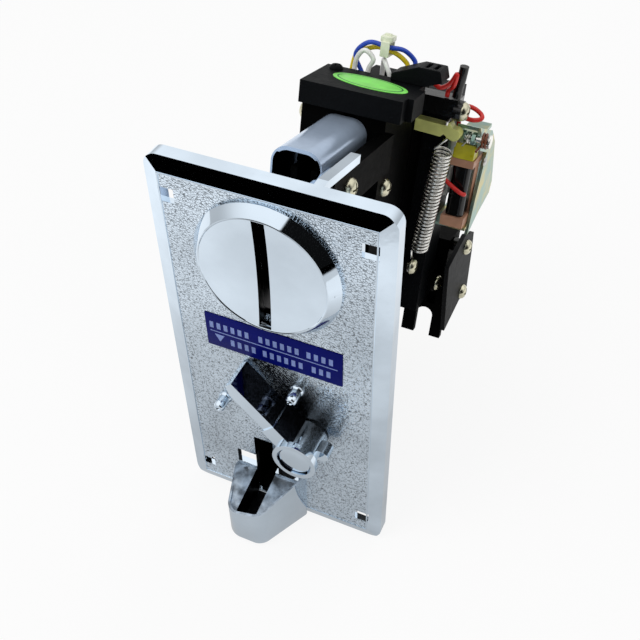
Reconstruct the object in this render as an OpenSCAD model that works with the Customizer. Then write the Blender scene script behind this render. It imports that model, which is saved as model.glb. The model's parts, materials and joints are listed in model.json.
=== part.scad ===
// Coin acceptor: a chrome door plate with a coin slot, reject lever and return cup,
// and a coin selector behind it that leans back and down.
// X is to the right, Y goes into the machine, Z is up; the origin is at the centre
// of the plate's mounting face. Everything behind the plate is drawn level, in the
// selector's own frame, and is then leaned back by module leaned().

/* [Front plate] */
// Width of the front plate
plate_w = 65; // [62:1:80]
// Height of the front plate
plate_h = 127; // [125:1:150]
// Radius of the plate's corners
plate_corner_r = 4; // [3:0.5:8]
// Depth of the plate's side walls
plate_edge_d = 4; // [3.5:0.1:4.6]
// Width of the sloping border
plate_bevel_w = 4.3; // [3:0.1:6]
// Height of the textured field in front of the mounting face
field_d = 5.3; // [5:0.1:6]
// Thickness of the plate's skin
plate_skin = 2; // [1.6:0.1:2.4]
// Width of the rim that rests on the door
rim_w = 3; // [2:0.25:3.5]
// Side of the square bolt holes
bolt_hole_w = 4.3; // [3.5:0.1:5]
// Distance of the bolt holes from the plate's sides
bolt_inset_x = 6; // [5.5:0.25:8]
// Distance of the bolt holes from the plate's top and bottom
bolt_inset_z = 10.5; // [9.5:0.25:13]

/* [Coin entry] */
// Radius of the entry disc at the plate
disc_base_r = 20.1; // [19.5:0.1:22]
// Radius of the entry disc at its front
disc_front_r = 17.1; // [16.5:0.1:18]
// How far the entry disc stands out of the field
disc_rise = 3.7; // [3:0.1:5]
// Height of the disc's centre above the plate's centre
disc_z = 38.5; // [38:0.5:40]
// Width of the coin slot
slot_w = 3.4; // [2.6:0.1:3.5]
// Height of the coin slot
slot_h = 31; // [28:0.5:32]

/* [Label] */
// Width of the label
label_w = 40.2; // [34:0.2:46]
// Height of the label
label_h = 12.2; // [9:0.2:13]
// Thickness of the label
label_t = 0.25; // [0.2:0.05:0.4]

/* [Reject lever] */
// Pivot of the lever, to the right of the plate's centre
pivot_x = 10.3; // [10:0.1:11.5]
// Pivot of the lever, below the plate's centre
pivot_drop = 19.8; // [19:0.1:21]
// Length of the lever from its pivot to its tip
lever_len = 29; // [27:0.2:31]
// Thickness of the lever's blade
lever_t = 4.2; // [3.6:0.1:4.8]
// Slope of the lever, from level right, at rest
lever_deg = 134; // [132:1:136]
// Radius of the lever's hub
hub_r = 5.3; // [5:0.1:5.8]
// Radius of the pivot shaft
shaft_r = 2.5; // [2:0.1:3]
// Clearance between a turning shaft and its bore, on the radius
run_gap = 0.05; // [0.03:0.01:0.09]

/* [Return cup] */
// Width of the coin groove in the cup
groove_w = 6.3; // [5.6:0.1:6.8]
// How far the cup stands out of the field
cup_reach = 16.4; // [14:0.2:18]
// Thickness of the cup's wall
cup_wall = 1.3; // [1:0.1:1.6]

/* [Selector] */
// Slope of the selector, back end down
lean_deg = 15; // [13:0.5:16]
// Width of the coin passage inside the selector
coin_gap = 3.6; // [3.6:0.1:3.8]
// Distance from the lean axis to the selector's front face
body_front = 30; // [30:0.5:33]
// Depth of the selector body
body_depth = 37; // [36:0.5:40]
// Top of the selector body
body_top = 63.6; // [62:0.2:66]
// How far the selector body reaches below the lean axis
body_drop = 29; // [28:0.5:30]
// Distance from the coin plane to the body's left face
body_left_w = 14; // [13.5:0.1:16]
// Distance from the coin plane to the body's right face
body_right_w = 10.4; // [10.4:0.1:10.8]
// Thickness of the moulded walls
wall = 1.6; // [1.4:0.1:1.8]
// Height of the top cap
cap_h = 6.1; // [5:0.1:7]
// Width of the chrome inlet hood
hood_w = 13.9; // [13.5:0.1:14]
// Thickness of the inlet hood's wall
hood_wall = 1; // [0.9:0.1:1.4]

/* [Springs and wires] */
// Coils of the long tension spring
spring_coils = 26; // [20:1:28]
// Outside diameter of the tension spring
spring_od = 5.9; // [5:0.1:6.4]
// Diameter of the tension spring's wire
spring_wire = 0.75; // [0.5:0.05:0.9]
// Outside diameter of the insulated wires
lead_od = 1.35; // [1:0.05:1.5]

/* [Hidden] */

// One overrun serves all cuts, and one small gap parts pieces that only meet
cut = 1;
seat_gap = 0.2;
fine = 48;
soft = 32;

// Front plate
pocket_d = field_d - plate_skin;
window_w = 20.7;
window_top = -41;
window_low = -47;
cup_x = -4.85;
groove_off = 0.9;
groove_x = cup_x - groove_off;
groove_top = -32;
groove_low = -60;
post_r = 1.4;
post_rise = 4.5;
left_post = [-17, -17.3];
right_post = [6.5, -3.5];
boss_back_r = 5;
boss_back_d = 4;
ear_x = 5.8;
ear_t = 2.8;
ear_drop = 4.4;
ear_h = 8.4;
ear_end = 6;
bar_x = 10.2;
bar_w = 2.6;
bar_t = 2.2;
bar_foot = 2.3;
arm_start = -9;
arm_hole_y = 0.9;
arm_hole_drop = 6.9;
guide_wall_t = 1.5;
guide_top_z = 56;
guide_low_z = 20;

// Entry disc
disc_rim_w = 1.6;
disc_dish = 1.1;
disc_screw_x = 17.6;
small_shank_r = 1.2;
small_head_r = 2.2;
small_head_h = 1.2;

// Label
label_x = -0.1;
label_z = 10.5;

// Lever
pivot_z = -pivot_drop;
blade_back = 0.5;
blade_front = 9.7;
hub_flange_r = 6.55;
hub_flange_d = 2;
step_len = 12;
step_t = 5.3;
step_rise = 0.5;
tip_cut = 3;
tail_len = 8.2;
tail_t = 4;
tail_back = 2.6;
tail_d = 4.2;
head_r = 4.9;
head_t = 1.2;
recess_d = 1;
shaft_back = 12;
crank_y = 7.6;
crank_t = 2;
crank_hub_r = 4.5;
crank_reach = 8.5;
crank_deg = 250;
crank_end_r = 2.6;
crank_bar_w = 4.4;
drive_pin_r = 1.5;
drive_pin_end = 22.8;
clip_r = 4;
clip_t = 0.7;
clip_y = 10;

// Return cup
shoulder_back = -48;
shoulder_slope_deg = 14;
cup_left_r = 5.5;
cup_right_r = 4.5;
cup_base = -62.5;
cup_left_x = -16.4;
cup_right_x = 8;
cup_front_left_x = -7.3;
cup_front_right_x = -2.6;
rim_back_z = -43.6;
rim_roll_deg = 16.8;
rim_pitch_deg = 9;
cup_screw_z = -55.5;
cup_screw_left = -12.8;
cup_screw_right = 1.4;

// Selector frame
half_gap = coin_gap / 2;
body_back = body_front + body_depth;
body_low = -body_drop;
left_x = -body_left_w;
right_x = body_right_w;
coin_wall = 2;
left_cover_t = 1.6;
post_w = 4.8;
rail_front_z = 24;
rail_drop = 3.5;
rail_len = 9;
rail_t = 2.4;
divider_from_back = 9;
divider_y = body_back - divider_from_back;
divider_h = 5;
divider_top = body_low + divider_h;
divider_t = 1.8;

// Release flap and its arm
flap_t = 1.6;
flap_low = -22;
flap_pin_drop = 6.6;
flap_pin_z = body_top - flap_pin_drop;
flap_pin_x = 4.6;
flap_pin_r = 1;
barrel_r = 2.1;
flap_side_gap = 0.6;
tab_y0 = 25.6;
tab_y1 = 28.6;
tab_z0 = -25.5;
tab_z1 = -17;
pin_gap = 0.3;
tab_x = pivot_x + crank_reach * cos(crank_deg) - drive_pin_r - pin_gap;
tab_t = 1.6;
arm_from_back = 8.4;
arm_y = body_back - arm_from_back;
arm_w = 4;
arm_h = 3.6;
arm_drop = 8.6;
arm_z = body_top - arm_drop;
arm_tip_x = 24.5;
arm_peak_x = 20.9;
arm_notch_x = 19.7;
arm_peak_h = 0.6;

// Tension spring
spring_top_x = 19.9;
spring_top_drop = 15.6;
spring_low_x = 16.6;
spring_low_up = 42.2;
spring_top = [spring_top_x, arm_y, body_top - spring_top_drop];
spring_screw_from_back = 4.5;
spring_screw_y = body_back - spring_screw_from_back;
spring_low = [spring_low_x, spring_screw_y, body_low + spring_low_up];
spring_screw_up = 35.5;
spring_screw_z = body_low + spring_screw_up;
spring_boss_h = 3.6;
spring_boss_r = 3.2;

// Inlet
hood_x = -1.35;
hood_drop = 1.8;
hood_top = body_top - hood_drop;
bar_top = hood_top;
bar_low = bar_top - bar_t;
ear_top = hood_top - ear_drop;
ear_low = ear_top - ear_h;
arm_hole_z = hood_top - arm_hole_drop;
hood_low = 26;
hood_corner_r = 4.6;
inlet_floor = 21.5;
inlet_wall_t = 1.8;
inlet_top_drop = 5.6;
inlet_top = hood_top - inlet_top_drop;
inlet_start = 2;

// Cap
cap_overhang = 2.5;
cap_front = body_front - cap_overhang;
cap_from_back = 20.5;
cap_back = body_back - cap_from_back;
cap_left = -14.2;
cap_right = 15;
cap_lug_x = 16.8;
cap_lug_from_front = 3.7;
cap_lug_y0 = cap_front + cap_lug_from_front;
cap_lug_from_back = 5.8;
cap_lug_y1 = cap_back - cap_lug_from_back;
sticker_x = 2.2;
sticker_y = (cap_front + cap_back) / 2;
sticker_rx = 11.2;
sticker_ry = (cap_back - cap_front) / 4;
sticker_t = 0.2;
sticker_turn = -7;

// Coils and sample coin
coil_r = 9;
coil_y = 48;
coil_z = 40;
coil_t = 3;
coil_step = 0.9;
sample_t = 1.6;
sample_r = 11.5;
right_coil_t = 3.4;

// Return chute, in the machine's level frame
chute_wall = 1.3;
chute_front_y = -3.1;
chute_from_back = 17;
chute_back_y = body_back - chute_from_back;
chute_floor_front = -59.2;
chute_floor_back = -47;
chute_top_gap = 0.5;
chute_top = groove_top + chute_top_gap;
hopper_x = 2.2;
hopper_y0 = 5;
hopper_y1 = 15;

// Connector box
box_from_back = 16;
box_depth = 7.5;
box_back = body_back - box_from_back;
box_front = box_back - box_depth;
box_low_x = 5.6;
box_turn_x = 13;
box_high_x = 19.2;
box_end_x = 20.2;
box_low_h = 2;
box_rise = 11.2;
box_high_z = body_top + box_rise;
box_wall = 1.4;

// Rear case and what is on it
case_left = -12;
case_right = 18;
case_depth = 15;
case_back = body_back + case_depth;
case_low_up = 17;
case_low = body_low + case_low_up;
case_drop = 1.6;
case_top = body_top - case_drop;
board_t = 1.6;
board_margin = 1.2;
chip_low = 6.4;
chip_pitch = 14.4;
chip_w = 12.8;
chip_h = 8;
plug_w = 3.2;
plug_low = 11.2;
plug_h = 14.4;
lug_from_back = 4.6;
lug_depth = 6.2;
lug_y1 = body_back - lug_from_back;
lug_y0 = lug_y1 - lug_depth;
lug_drop = 4.4;
lug_z0 = body_top - lug_drop;
lug_h = 5;
lug_z1 = lug_z0 + lug_h;
lug_end_x = 22.4;
lug_r = 3;
lug_screw_in = 2.5;
lug_screw_up = 1.6;
lug_screw_y = lug_y0 + lug_screw_in;
lug_screw_z = lug_z0 + lug_screw_up;
leg_y0 = case_back + seat_gap;
leg_t = 2.4;
leg_y1 = leg_y0 + leg_t;
leg_left = 10;
leg_right = 26;
leg_h = 25;
leg_top = body_low + leg_h;
leg_low = body_low;
notch_x0 = 14.6;
notch_x1 = 20.4;
notch_h = 8;
notch_top = body_low + notch_h;
window_x0 = 17.4;
window_up = 13;
window_z0 = body_low + window_up;
window_h = 6;
window_z1 = window_z0 + window_h;
gate_block_x1 = 21.4;
gate_block_y0 = leg_y1 + seat_gap;
gate_block_depth = 13.2;
gate_block_y1 = gate_block_y0 + gate_block_depth;
gate_block_up = 12;
gate_block_z0 = body_low + gate_block_up;
gate_block_h = 25;
gate_block_z1 = gate_block_z0 + gate_block_h;
rear_plate_x = 26;
rear_plate_t = 1.5;
rear_spacer_r = 2.4;
rear_screws_back = [23.2, 30.1];
rear_screws_up = [33.7, 12.8];
rear_points = [for (i = [0, 1]) [body_back + rear_screws_back[i], body_low + rear_screws_up[i]]];

// Screws
screw_head_r = 2.7;
screw_head_h = 1.9;
screw_shank_r = 1.35;
boss_h = 2.5;
boss_r = 3.2;
front_screw_in = 6;
front_screw_drop = 21.6;
front_screw = [body_front + front_screw_in, body_top - front_screw_drop];
low_screw_back = 12.5;
low_screw_up = 23;
low_screw = [body_back + low_screw_back, body_low + low_screw_up];

// Solenoid
sol_x0 = 20.8;
sol_x1 = 28.1;
sol_overlap = 0.8;
sol_y0 = body_back - sol_overlap;
sol_depth = 17.8;
sol_y1 = sol_y0 + sol_depth;
sol_drop = 19.6;
sol_top = body_top - sol_drop;
sol_h = 21.4;
sol_low = sol_top - sol_h;
flange_t = 2.4;
coil_in = 0.8;
core_r = 2.6;
core_out = 5.2;
core_top = sol_top + core_out;
bracket_x = 28.3;
bracket_t = 1;
bracket_ear_x = 22.4;
foot_drop = 2;
bracket_foot_z = sol_low - foot_drop;
arm_pin_from_back = 4.2;
arm_pin_y = body_back - arm_pin_from_back;
arm_pin_drop = 11.2;
arm_pin_z = body_top - arm_pin_drop;
arm_pin_r = 1;
arm_pin_out = 32;
tape_len = 5.4;
tape_y1 = sol_y0 + tape_len;
tape_h = 4.9;
armature_t = 1.2;
armature_drop = 1.9;
armature_z = arm_pin_z - armature_drop;
armature_reach = 15;
armature_end = body_back + armature_reach;
link_x0 = 18.5;
link_t = 1.1;
link_from_back = 5;
link_y = body_back + link_from_back;
gate_pin_y = link_y;
gate_pin_drop = 33.6;
gate_pin_z = body_top - gate_pin_drop;
link_low_up = 4.4;
link_low = gate_pin_z + link_low_up;
gate_pin_r = 1.2;
gate_crank_r = 8;
gate_crank_x0 = 19.9;
gate_crank_t = 0.7;
crank_stud_r = 0.9;

// Leaned frame and shape helpers
module leaned() rotate([-lean_deg, 0, 0]) children();

// A box from its two corners
module span(low, high) translate(low) cube(high - low);

// A flat shape in the X-Z plane, from one depth in front of the mounting face to another
module front_slab(d0, d1) translate([0, -d0, 0]) rotate([90, 0, 0]) linear_extrude(d1 - d0) children();

// A flat shape in the Y-Z plane, from x0 to x1
module side_slab(x0, x1) translate([x0, 0, 0]) rotate([90, 0, 90]) linear_extrude(x1 - x0) children();

// Round bars along X and Y
module x_rod(x0, x1, y, z, r) translate([x0, y, z]) rotate([0, 90, 0])
    cylinder(h = x1 - x0, r = r, $fn = fine);
module y_rod(y0, y1, x, z, r) translate([x, y0, z]) rotate([-90, 0, 0])
    cylinder(h = y1 - y0, r = r, $fn = fine);

module round_rect(w, h, r) {
    square([w - 2 * r, h], center = true);
    square([w, h - 2 * r], center = true);
    for (x = [-1, 1], y = [-1, 1]) translate([x * (w / 2 - r), y * (h / 2 - r)])
        circle(r = r, $fn = fine);
}

// Pan-head screw along +Z: the head sits on z = 0 and the shank goes down
cross_share = 0.62;
cross_w_share = 0.2;
cross_d_share = 0.45;
dome_share = 0.78;
module pan_screw(head, head_t, shank, len) {
    difference() {
        union() {
            cylinder(h = head_t / 2, r = head, $fn = fine);
            translate([0, 0, head_t / 2]) cylinder(h = head_t / 2, r1 = head, r2 = head * dome_share,
                $fn = fine);
        }
        for (a = [0, 90]) rotate(a) translate([0, 0, head_t])
            cube([2 * head * cross_share, head * cross_w_share, 2 * head_t * cross_d_share],
                center = true);
    }
    translate([0, 0, -len]) cylinder(h = len, r = shank, $fn = fine);
}
module screw_right(x, y, z, len) translate([x, y, z]) rotate([0, 90, 0])
    pan_screw(screw_head_r, screw_head_h, screw_shank_r, len);
module screw_left(x, y, z, len) translate([x, y, z]) rotate([0, -90, 0])
    pan_screw(screw_head_r, screw_head_h, screw_shank_r, len);

// A bent wire: rings of the given radius along points, turned as little as possible
function unit(v) = v / norm(v);
function tangent(p, i) = unit(p[min(i + 1, len(p) - 1)] - p[max(i - 1, 0)]);
function side_of(n, t) = unit(n - (n * t) * t);
function first_side(t) = side_of(abs(t[0]) < abs(t[1]) ? [1, 0, 0] : [0, 1, 0], t);
function sides_along(p) = [for (i = 0, n = first_side(tangent(p, 0)); i < len(p);
    i = i + 1, n = i < len(p) ? side_of(n, tangent(p, i)) : n) n];
module bent_wire(p, r, sides) {
    normals = sides_along(p);
    rings = [for (i = [0:len(p) - 1]) let (t = tangent(p, i), n = normals[i], b = cross(t, n))
        for (k = [0:sides - 1]) p[i] + r * (cos(360 * k / sides) * n + sin(360 * k / sides) * b)];
    last = (len(p) - 1) * sides;
    walls = [for (i = [0:len(p) - 2], k = [0:sides - 1]) let (a = i * sides + k,
        b = i * sides + (k + 1) % sides)
        each [[a, a + sides, b + sides], [a, b + sides, b]]];
    ends = [[for (k = [0:sides - 1]) k], [for (k = [sides - 1:-1:0]) last + k]];
    polyhedron(points = rings, faces = concat(walls, ends), convexity = 8);
}

// A smooth curve through hand-chosen points
function curve_at(a, b, c, d, t) = 0.5 * (2 * b + (c - a) * t + (2 * a - 5 * b + 4 * c - d) * t * t
    + (3 * b - a - 3 * c + d) * t * t * t);
function curve(p, steps) = concat([for (i = [0:len(p) - 2], s = [0:steps - 1])
    curve_at(p[max(i - 1, 0)], p[i], p[i + 1], p[min(i + 2, len(p) - 1)], s / steps)], [p[len(p) - 1]]);

// Coils of a spring round +Z, from z = 0
function coil_points(r, pitch, turns, per_turn) = [for (i = [0:turns * per_turn])
    [r * cos(360 * i / per_turn), r * sin(360 * i / per_turn), pitch * i / per_turn]];

module plate_outline(inset) round_rect(plate_w - 2 * inset, plate_h - 2 * inset,
    plate_corner_r - inset / 2);

module plate_shell() {
    w = plate_w / 2;
    h = plate_h / 2;
    intersection() {
        front_slab(0, field_d) plate_outline(0);
        linear_extrude(plate_h + cut, center = true) polygon([[-w, 0], [-w, -plate_edge_d],
            [plate_bevel_w - w, -field_d], [w - plate_bevel_w, -field_d], [w, -plate_edge_d], [w, 0]]);
        side_slab(-w, w) polygon([[0, -h], [-plate_edge_d, -h], [-field_d, plate_bevel_w - h],
            [-field_d, h - plate_bevel_w], [-plate_edge_d, h], [0, h]]);
    }
}

// Ear on the back of the plate that the hood and the body's arm are screwed to
module plate_ear() {
    ear_r = (ear_top - ear_low) / 4;
    intersection() {
        leaned() side_slab(ear_x, ear_x + ear_t) {
            translate([-plate_h / 4, ear_low]) square([ear_end - ear_r + plate_h / 4, ear_top - ear_low]);
            translate([-plate_h / 4, ear_low + ear_r])
                square([ear_end + plate_h / 4, ear_top - ear_low - 2 * ear_r]);
            for (z = [ear_low + ear_r, ear_top - ear_r]) translate([ear_end - ear_r, z])
                circle(r = ear_r, $fn = fine);
        }
        span([0, -pocket_d - plate_skin / 2, 0], [plate_w / 2, plate_h / 4, plate_h / 2 - rim_w / 2]);
    }
}

// Bar from the plate's top rim, over the body's arm: square to the mounting face at its
// foot, then sloping with the selector
function leaned_point(y, z) = [y * cos(lean_deg) + z * sin(lean_deg), z * cos(lean_deg) - y * sin(lean_deg)];
function leaned_line(z, y) = z / cos(lean_deg) - y * tan(lean_deg);
module plate_bar() {
    front = plate_skin / 2 - pocket_d;
    top = plate_h / 2 - seat_gap;
    foot = plate_h / 2 - 2 * rim_w;
    side_slab(bar_x, bar_x + bar_w) polygon([[front, foot], [bar_foot, foot],
        [bar_foot, leaned_line(bar_low, bar_foot)], leaned_point(ear_end, bar_low),
        leaned_point(ear_end, bar_top), [(bar_top / cos(lean_deg) - top) / tan(lean_deg), top],
        [front, top]]);
}

// Two walls behind the slot that hand the coin on to the inlet guide
module slot_walls() {
    reach = guide_low_z * tan(lean_deg) - seat_gap;
    for (s = [0, 1]) mirror([s, 0, 0]) side_slab(half_gap, half_gap + guide_wall_t)
        polygon([[-pocket_d - plate_skin / 2, guide_low_z], [reach, guide_low_z],
            [reach + field_d, guide_low_z + field_d / tan(lean_deg)], [reach, guide_top_z],
            [-pocket_d - plate_skin / 2, guide_top_z]]);
}

module front_plate() color("gainsboro") difference() {
    union() {
        difference() {
            plate_shell();
            front_slab(-cut, pocket_d) plate_outline(rim_w);
        }
        for (p = [left_post, right_post]) translate([p[0], -field_d + plate_skin / 2, p[1]])
            rotate([90, 0, 0])
            cylinder(h = post_rise + plate_skin / 2, r = post_r, $fn = fine);
        y_rod(-field_d + plate_skin / 2, boss_back_d, pivot_x, pivot_z, boss_back_r);
        plate_ear();
        plate_bar();
        slot_walls();
    }
    for (x = [-1, 1], z = [-1, 1]) front_slab(-cut, field_d + cut)
        translate([x * (plate_w / 2 - bolt_inset_x), z * (plate_h / 2 - bolt_inset_z)])
        square(bolt_hole_w, center = true);
    front_slab(-cut, field_d + cut) translate([0, disc_z]) square([slot_w, slot_h], center = true);
    y_rod(-field_d - cut, boss_back_d + cut, pivot_x, pivot_z, shaft_r + run_gap);
    front_slab(0, field_d + cut) translate([cup_x - window_w / 2, window_low])
        square([window_w, window_top - window_low]);
    front_slab(0, field_d + cut) translate([groove_x - groove_w / 2, groove_low])
        square([groove_w, groove_top - groove_low]);
    for (x = [-disc_screw_x, disc_screw_x])
        y_rod(-field_d - cut, 0, x, disc_z, small_shank_r + run_gap);
    for (x = [cup_screw_left, cup_screw_right])
        y_rod(-field_d - cut, 0, x, cup_screw_z, small_shank_r + run_gap);
    leaned() x_rod(ear_x - cut, ear_x + ear_t + cut, arm_hole_y, arm_hole_z, screw_shank_r + run_gap);
}

module coin_entry_disc() color("silver") translate([0, -field_d, disc_z]) rotate([90, 0, 0])
    difference() {
    rotate_extrude($fn = 2 * fine) difference() {
        polygon([[0, 0], [disc_base_r, 0], [disc_base_r, disc_rise / 4],
            [disc_front_r + disc_rim_w / 2, disc_rise],
            [disc_front_r - disc_rim_w, disc_rise], [disc_front_r - 2 * disc_rim_w,
                disc_rise - disc_dish / 2],
            [disc_front_r / 2, disc_rise - disc_dish], [0, disc_rise - disc_dish]]);
    }
    cube([slot_w, slot_h, 2 * (disc_rise + cut)], center = true);
    translate([-slot_w / 2, -disc_front_r, disc_rise - disc_dish])
        cube([slot_w, 2 * disc_front_r, disc_rise]);
    for (x = [-disc_screw_x, disc_screw_x]) translate([x, 0, -cut])
        cylinder(h = cut + disc_rise * 2 / 3, r = small_shank_r + run_gap, $fn = fine);
}

// Screw from behind the skin, with its head in the plate's hollow
module back_screw(x, z, len) translate([x, -pocket_d, z]) rotate([-90, 0, 0])
    pan_screw(small_head_r, small_head_h, small_shank_r, len);

module disc_screws() color("gainsboro") for (x = [-disc_screw_x, disc_screw_x])
    back_screw(x, disc_z, plate_skin + disc_rise / 2);

module label_plate() color("mediumblue") front_slab(field_d, field_d + label_t)
    translate([label_x, label_z]) round_rect(label_w, label_h, label_t * 2);

// Outline of the cup seen from above, with y towards the front
module cup_plan(inset) offset(delta = -inset) hull() {
    translate([cup_left_x, 0]) square([cup_right_x - cup_left_x, plate_skin / 2]);
    translate([cup_front_left_x, cup_reach - cup_left_r]) circle(r = cup_left_r, $fn = soft);
    translate([cup_front_right_x, cup_reach - cup_right_r]) circle(r = cup_right_r, $fn = soft);
}

module cup_block(inset, z0, z1) translate([0, -field_d, z0]) linear_extrude(z1 - z0)
    mirror([0, 1]) cup_plan(inset);

module return_cup() color("silver") difference() {
    cup_block(0, cup_base, window_top);
    // Everything above the sloping rim
    translate([0, 0, rim_back_z]) rotate([rim_pitch_deg, -rim_roll_deg, 0])
        translate([-plate_w, -plate_w, 0]) cube([2 * plate_w, 2 * plate_w, plate_w]);
    // The hollow above the shoulders, open to the window behind
    intersection() {
        translate([0, cup_wall + cut, 0]) cup_block(cup_wall, cup_base, 0);
        translate([0, -field_d, shoulder_back]) rotate([shoulder_slope_deg, 0, 0])
            translate([-plate_w, -plate_w, 0]) cube([2 * plate_w, 2 * plate_w, plate_w]);
    }
    // The groove that holds the returned coin on edge
    intersection() {
        translate([0, cup_wall + cut, 0]) cup_block(cup_wall, groove_low, 0);
        span([groove_x - groove_w / 2, -plate_w, groove_low], [groove_x + groove_w / 2, 0, 0]);
    }
    for (x = [cup_screw_left, cup_screw_right])
        y_rod(-field_d - cup_reach / 4, 0, x, cup_screw_z, small_shank_r + run_gap);
}

module cup_screws() color("gainsboro") for (x = [cup_screw_left, cup_screw_right])
    back_screw(x, cup_screw_z, plate_skin + cup_reach / 5);

// Flat shape along the lever, from its pivot
module along_lever() translate([pivot_x, pivot_z]) rotate(lever_deg) children();

module reject_lever() color("silver") difference() {
    union() {
        front_slab(field_d + blade_back, field_d + blade_front) along_lever() polygon([[0, -lever_t / 2],
            [lever_len, -lever_t / 2], [lever_len, lever_t / 2 - tip_cut / 2],
                [lever_len - tip_cut, lever_t / 2],
            [0, lever_t / 2]]);
        front_slab(field_d + blade_back, field_d + blade_front + step_rise) along_lever()
            translate([0, -step_t / 2]) square([step_len, step_t]);
        front_slab(field_d + tail_back, field_d + tail_back + tail_d) translate([pivot_x, pivot_z]) {
            translate([0, -tail_t / 2]) square([tail_len - tail_t / 2, tail_t]);
            translate([tail_len - tail_t / 2, 0]) circle(r = tail_t / 2, $fn = soft);
        }
        y_rod(-field_d - blade_front - hub_flange_d / 2, -field_d - blade_back, pivot_x, pivot_z, hub_r);
        y_rod(-field_d - blade_front - hub_flange_d, -field_d - blade_front, pivot_x, pivot_z,
            hub_flange_r);
    }
    y_rod(-plate_w, 0, pivot_x, pivot_z, shaft_r);
    y_rod(-plate_w, -field_d - blade_front - hub_flange_d + recess_d, pivot_x, pivot_z,
        head_r + seat_gap);
}

module lever_shaft() color("silver") {
    y_rod(-field_d - blade_front - hub_flange_d + recess_d - head_t,
        -field_d - blade_front - hub_flange_d + recess_d,
        pivot_x, pivot_z, head_r);
    difference() {
        y_rod(-field_d - blade_front - hub_flange_d + recess_d, shaft_back, pivot_x, pivot_z, shaft_r);
        // Groove for the clip
        translate([pivot_x, clip_y, pivot_z]) rotate([-90, 0, 0]) difference() {
            cylinder(h = clip_t, r = shaft_r + cut, $fn = fine);
            cylinder(h = clip_t, r = shaft_r * dome_share, $fn = fine);
        }
    }
}

lever_coil_r = 3.8;
lever_coil_wire = 0.35;
lever_coil_pitch = 0.9;
lever_coil_turns = 3;
module lever_spring() color("lightgray") translate([pivot_x,
    boss_back_d + lever_coil_wire + seat_gap / 4, pivot_z])
    rotate([-90, 0, 0]) bent_wire(concat([[lever_coil_r, -2 * lever_coil_r, 0]],
        coil_points(lever_coil_r, lever_coil_pitch, lever_coil_turns, 16),
        [[lever_coil_r, 2 * lever_coil_r, lever_coil_pitch * lever_coil_turns]]), lever_coil_wire, 6);

function crank_at(deg) = [pivot_x + crank_reach * cos(deg), pivot_z + crank_reach * sin(deg)];

module lever_crank() color("darkgray") translate([pivot_x, crank_y + crank_t, pivot_z]) rotate([90, 0, 0])
    linear_extrude(crank_t) difference() {
        union() {
            circle(r = crank_hub_r, $fn = fine);
            rotate(crank_deg) translate([0, -crank_bar_w / 2]) square([crank_reach, crank_bar_w]);
            rotate(crank_deg) translate([crank_reach, 0]) circle(r = crank_end_r, $fn = fine);
        }
        circle(r = shaft_r, $fn = fine);
        rotate(crank_deg) translate([crank_reach, 0]) circle(r = drive_pin_r, $fn = fine);
    }

module crank_pin() color("lightgray")
    y_rod(crank_y, drive_pin_end, crank_at(crank_deg)[0], crank_at(crank_deg)[1], drive_pin_r);

module lever_clip() color("dimgray") translate([pivot_x, clip_y, pivot_z]) rotate([-90, 0, 0])
    difference() {
    cylinder(h = clip_t, r = clip_r, $fn = fine);
    translate([0, 0, -cut]) cylinder(h = clip_t + 2 * cut, r = shaft_r * dome_share, $fn = fine);
    translate([-shaft_r * dome_share, 0, -cut])
        cube([2 * shaft_r * dome_share, 2 * clip_r, clip_t + 2 * cut]);
}

// Hood outline: a tall arch with rounded top corners
module hood_outline(inset) {
    r = hood_corner_r - inset;
    x0 = hood_x - hood_w / 2 + inset;
    x1 = hood_x + hood_w / 2 - inset;
    top = hood_top - inset;
    translate([x0, hood_low - inset * cut]) square([x1 - x0, top - r - hood_low + inset * cut]);
    translate([x0 + r, top - 2 * r]) square([x1 - x0 - 2 * r, 2 * r]);
    for (x = [x0 + r, x1 - r]) translate([x, top - r]) circle(r = r, $fn = fine);
}

module inlet_hood() color("silver") leaned() difference() {
    translate([0, body_front, 0]) rotate([90, 0, 0]) linear_extrude(body_front) hood_outline(0);
    translate([0, body_front + cut, 0]) rotate([90, 0, 0]) linear_extrude(2 * body_front)
        hood_outline(hood_wall);
    x_rod(hood_x, plate_w, arm_hole_y, arm_hole_z, screw_shank_r + run_gap);
}

module inlet_guide() color("black") leaned() for (s = [-1, 1]) {
    x0 = s > 0 ? half_gap : hood_x - hood_w / 2 + hood_wall;
    x1 = s > 0 ? hood_x + hood_w / 2 - hood_wall : -half_gap;
    if (s < 0) span([-half_gap - inlet_wall_t, inlet_start, inlet_floor - inlet_wall_t],
        [half_gap + inlet_wall_t, body_front, inlet_floor]);
    span([s > 0 ? half_gap : -half_gap - inlet_wall_t, inlet_start, inlet_floor],
        [s > 0 ? half_gap + inlet_wall_t : -half_gap, body_front, inlet_top]);
    span([x0, body_front * 2 / 3, hood_low + cut], [x1, body_front, inlet_top]);
}

module arm_screw() color("gainsboro") leaned()
    screw_right(bar_x + bar_w - seat_gap, arm_hole_y, arm_hole_z,
        bar_x + bar_w - hood_x - hood_w / 2 + hood_wall / 2);

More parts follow.
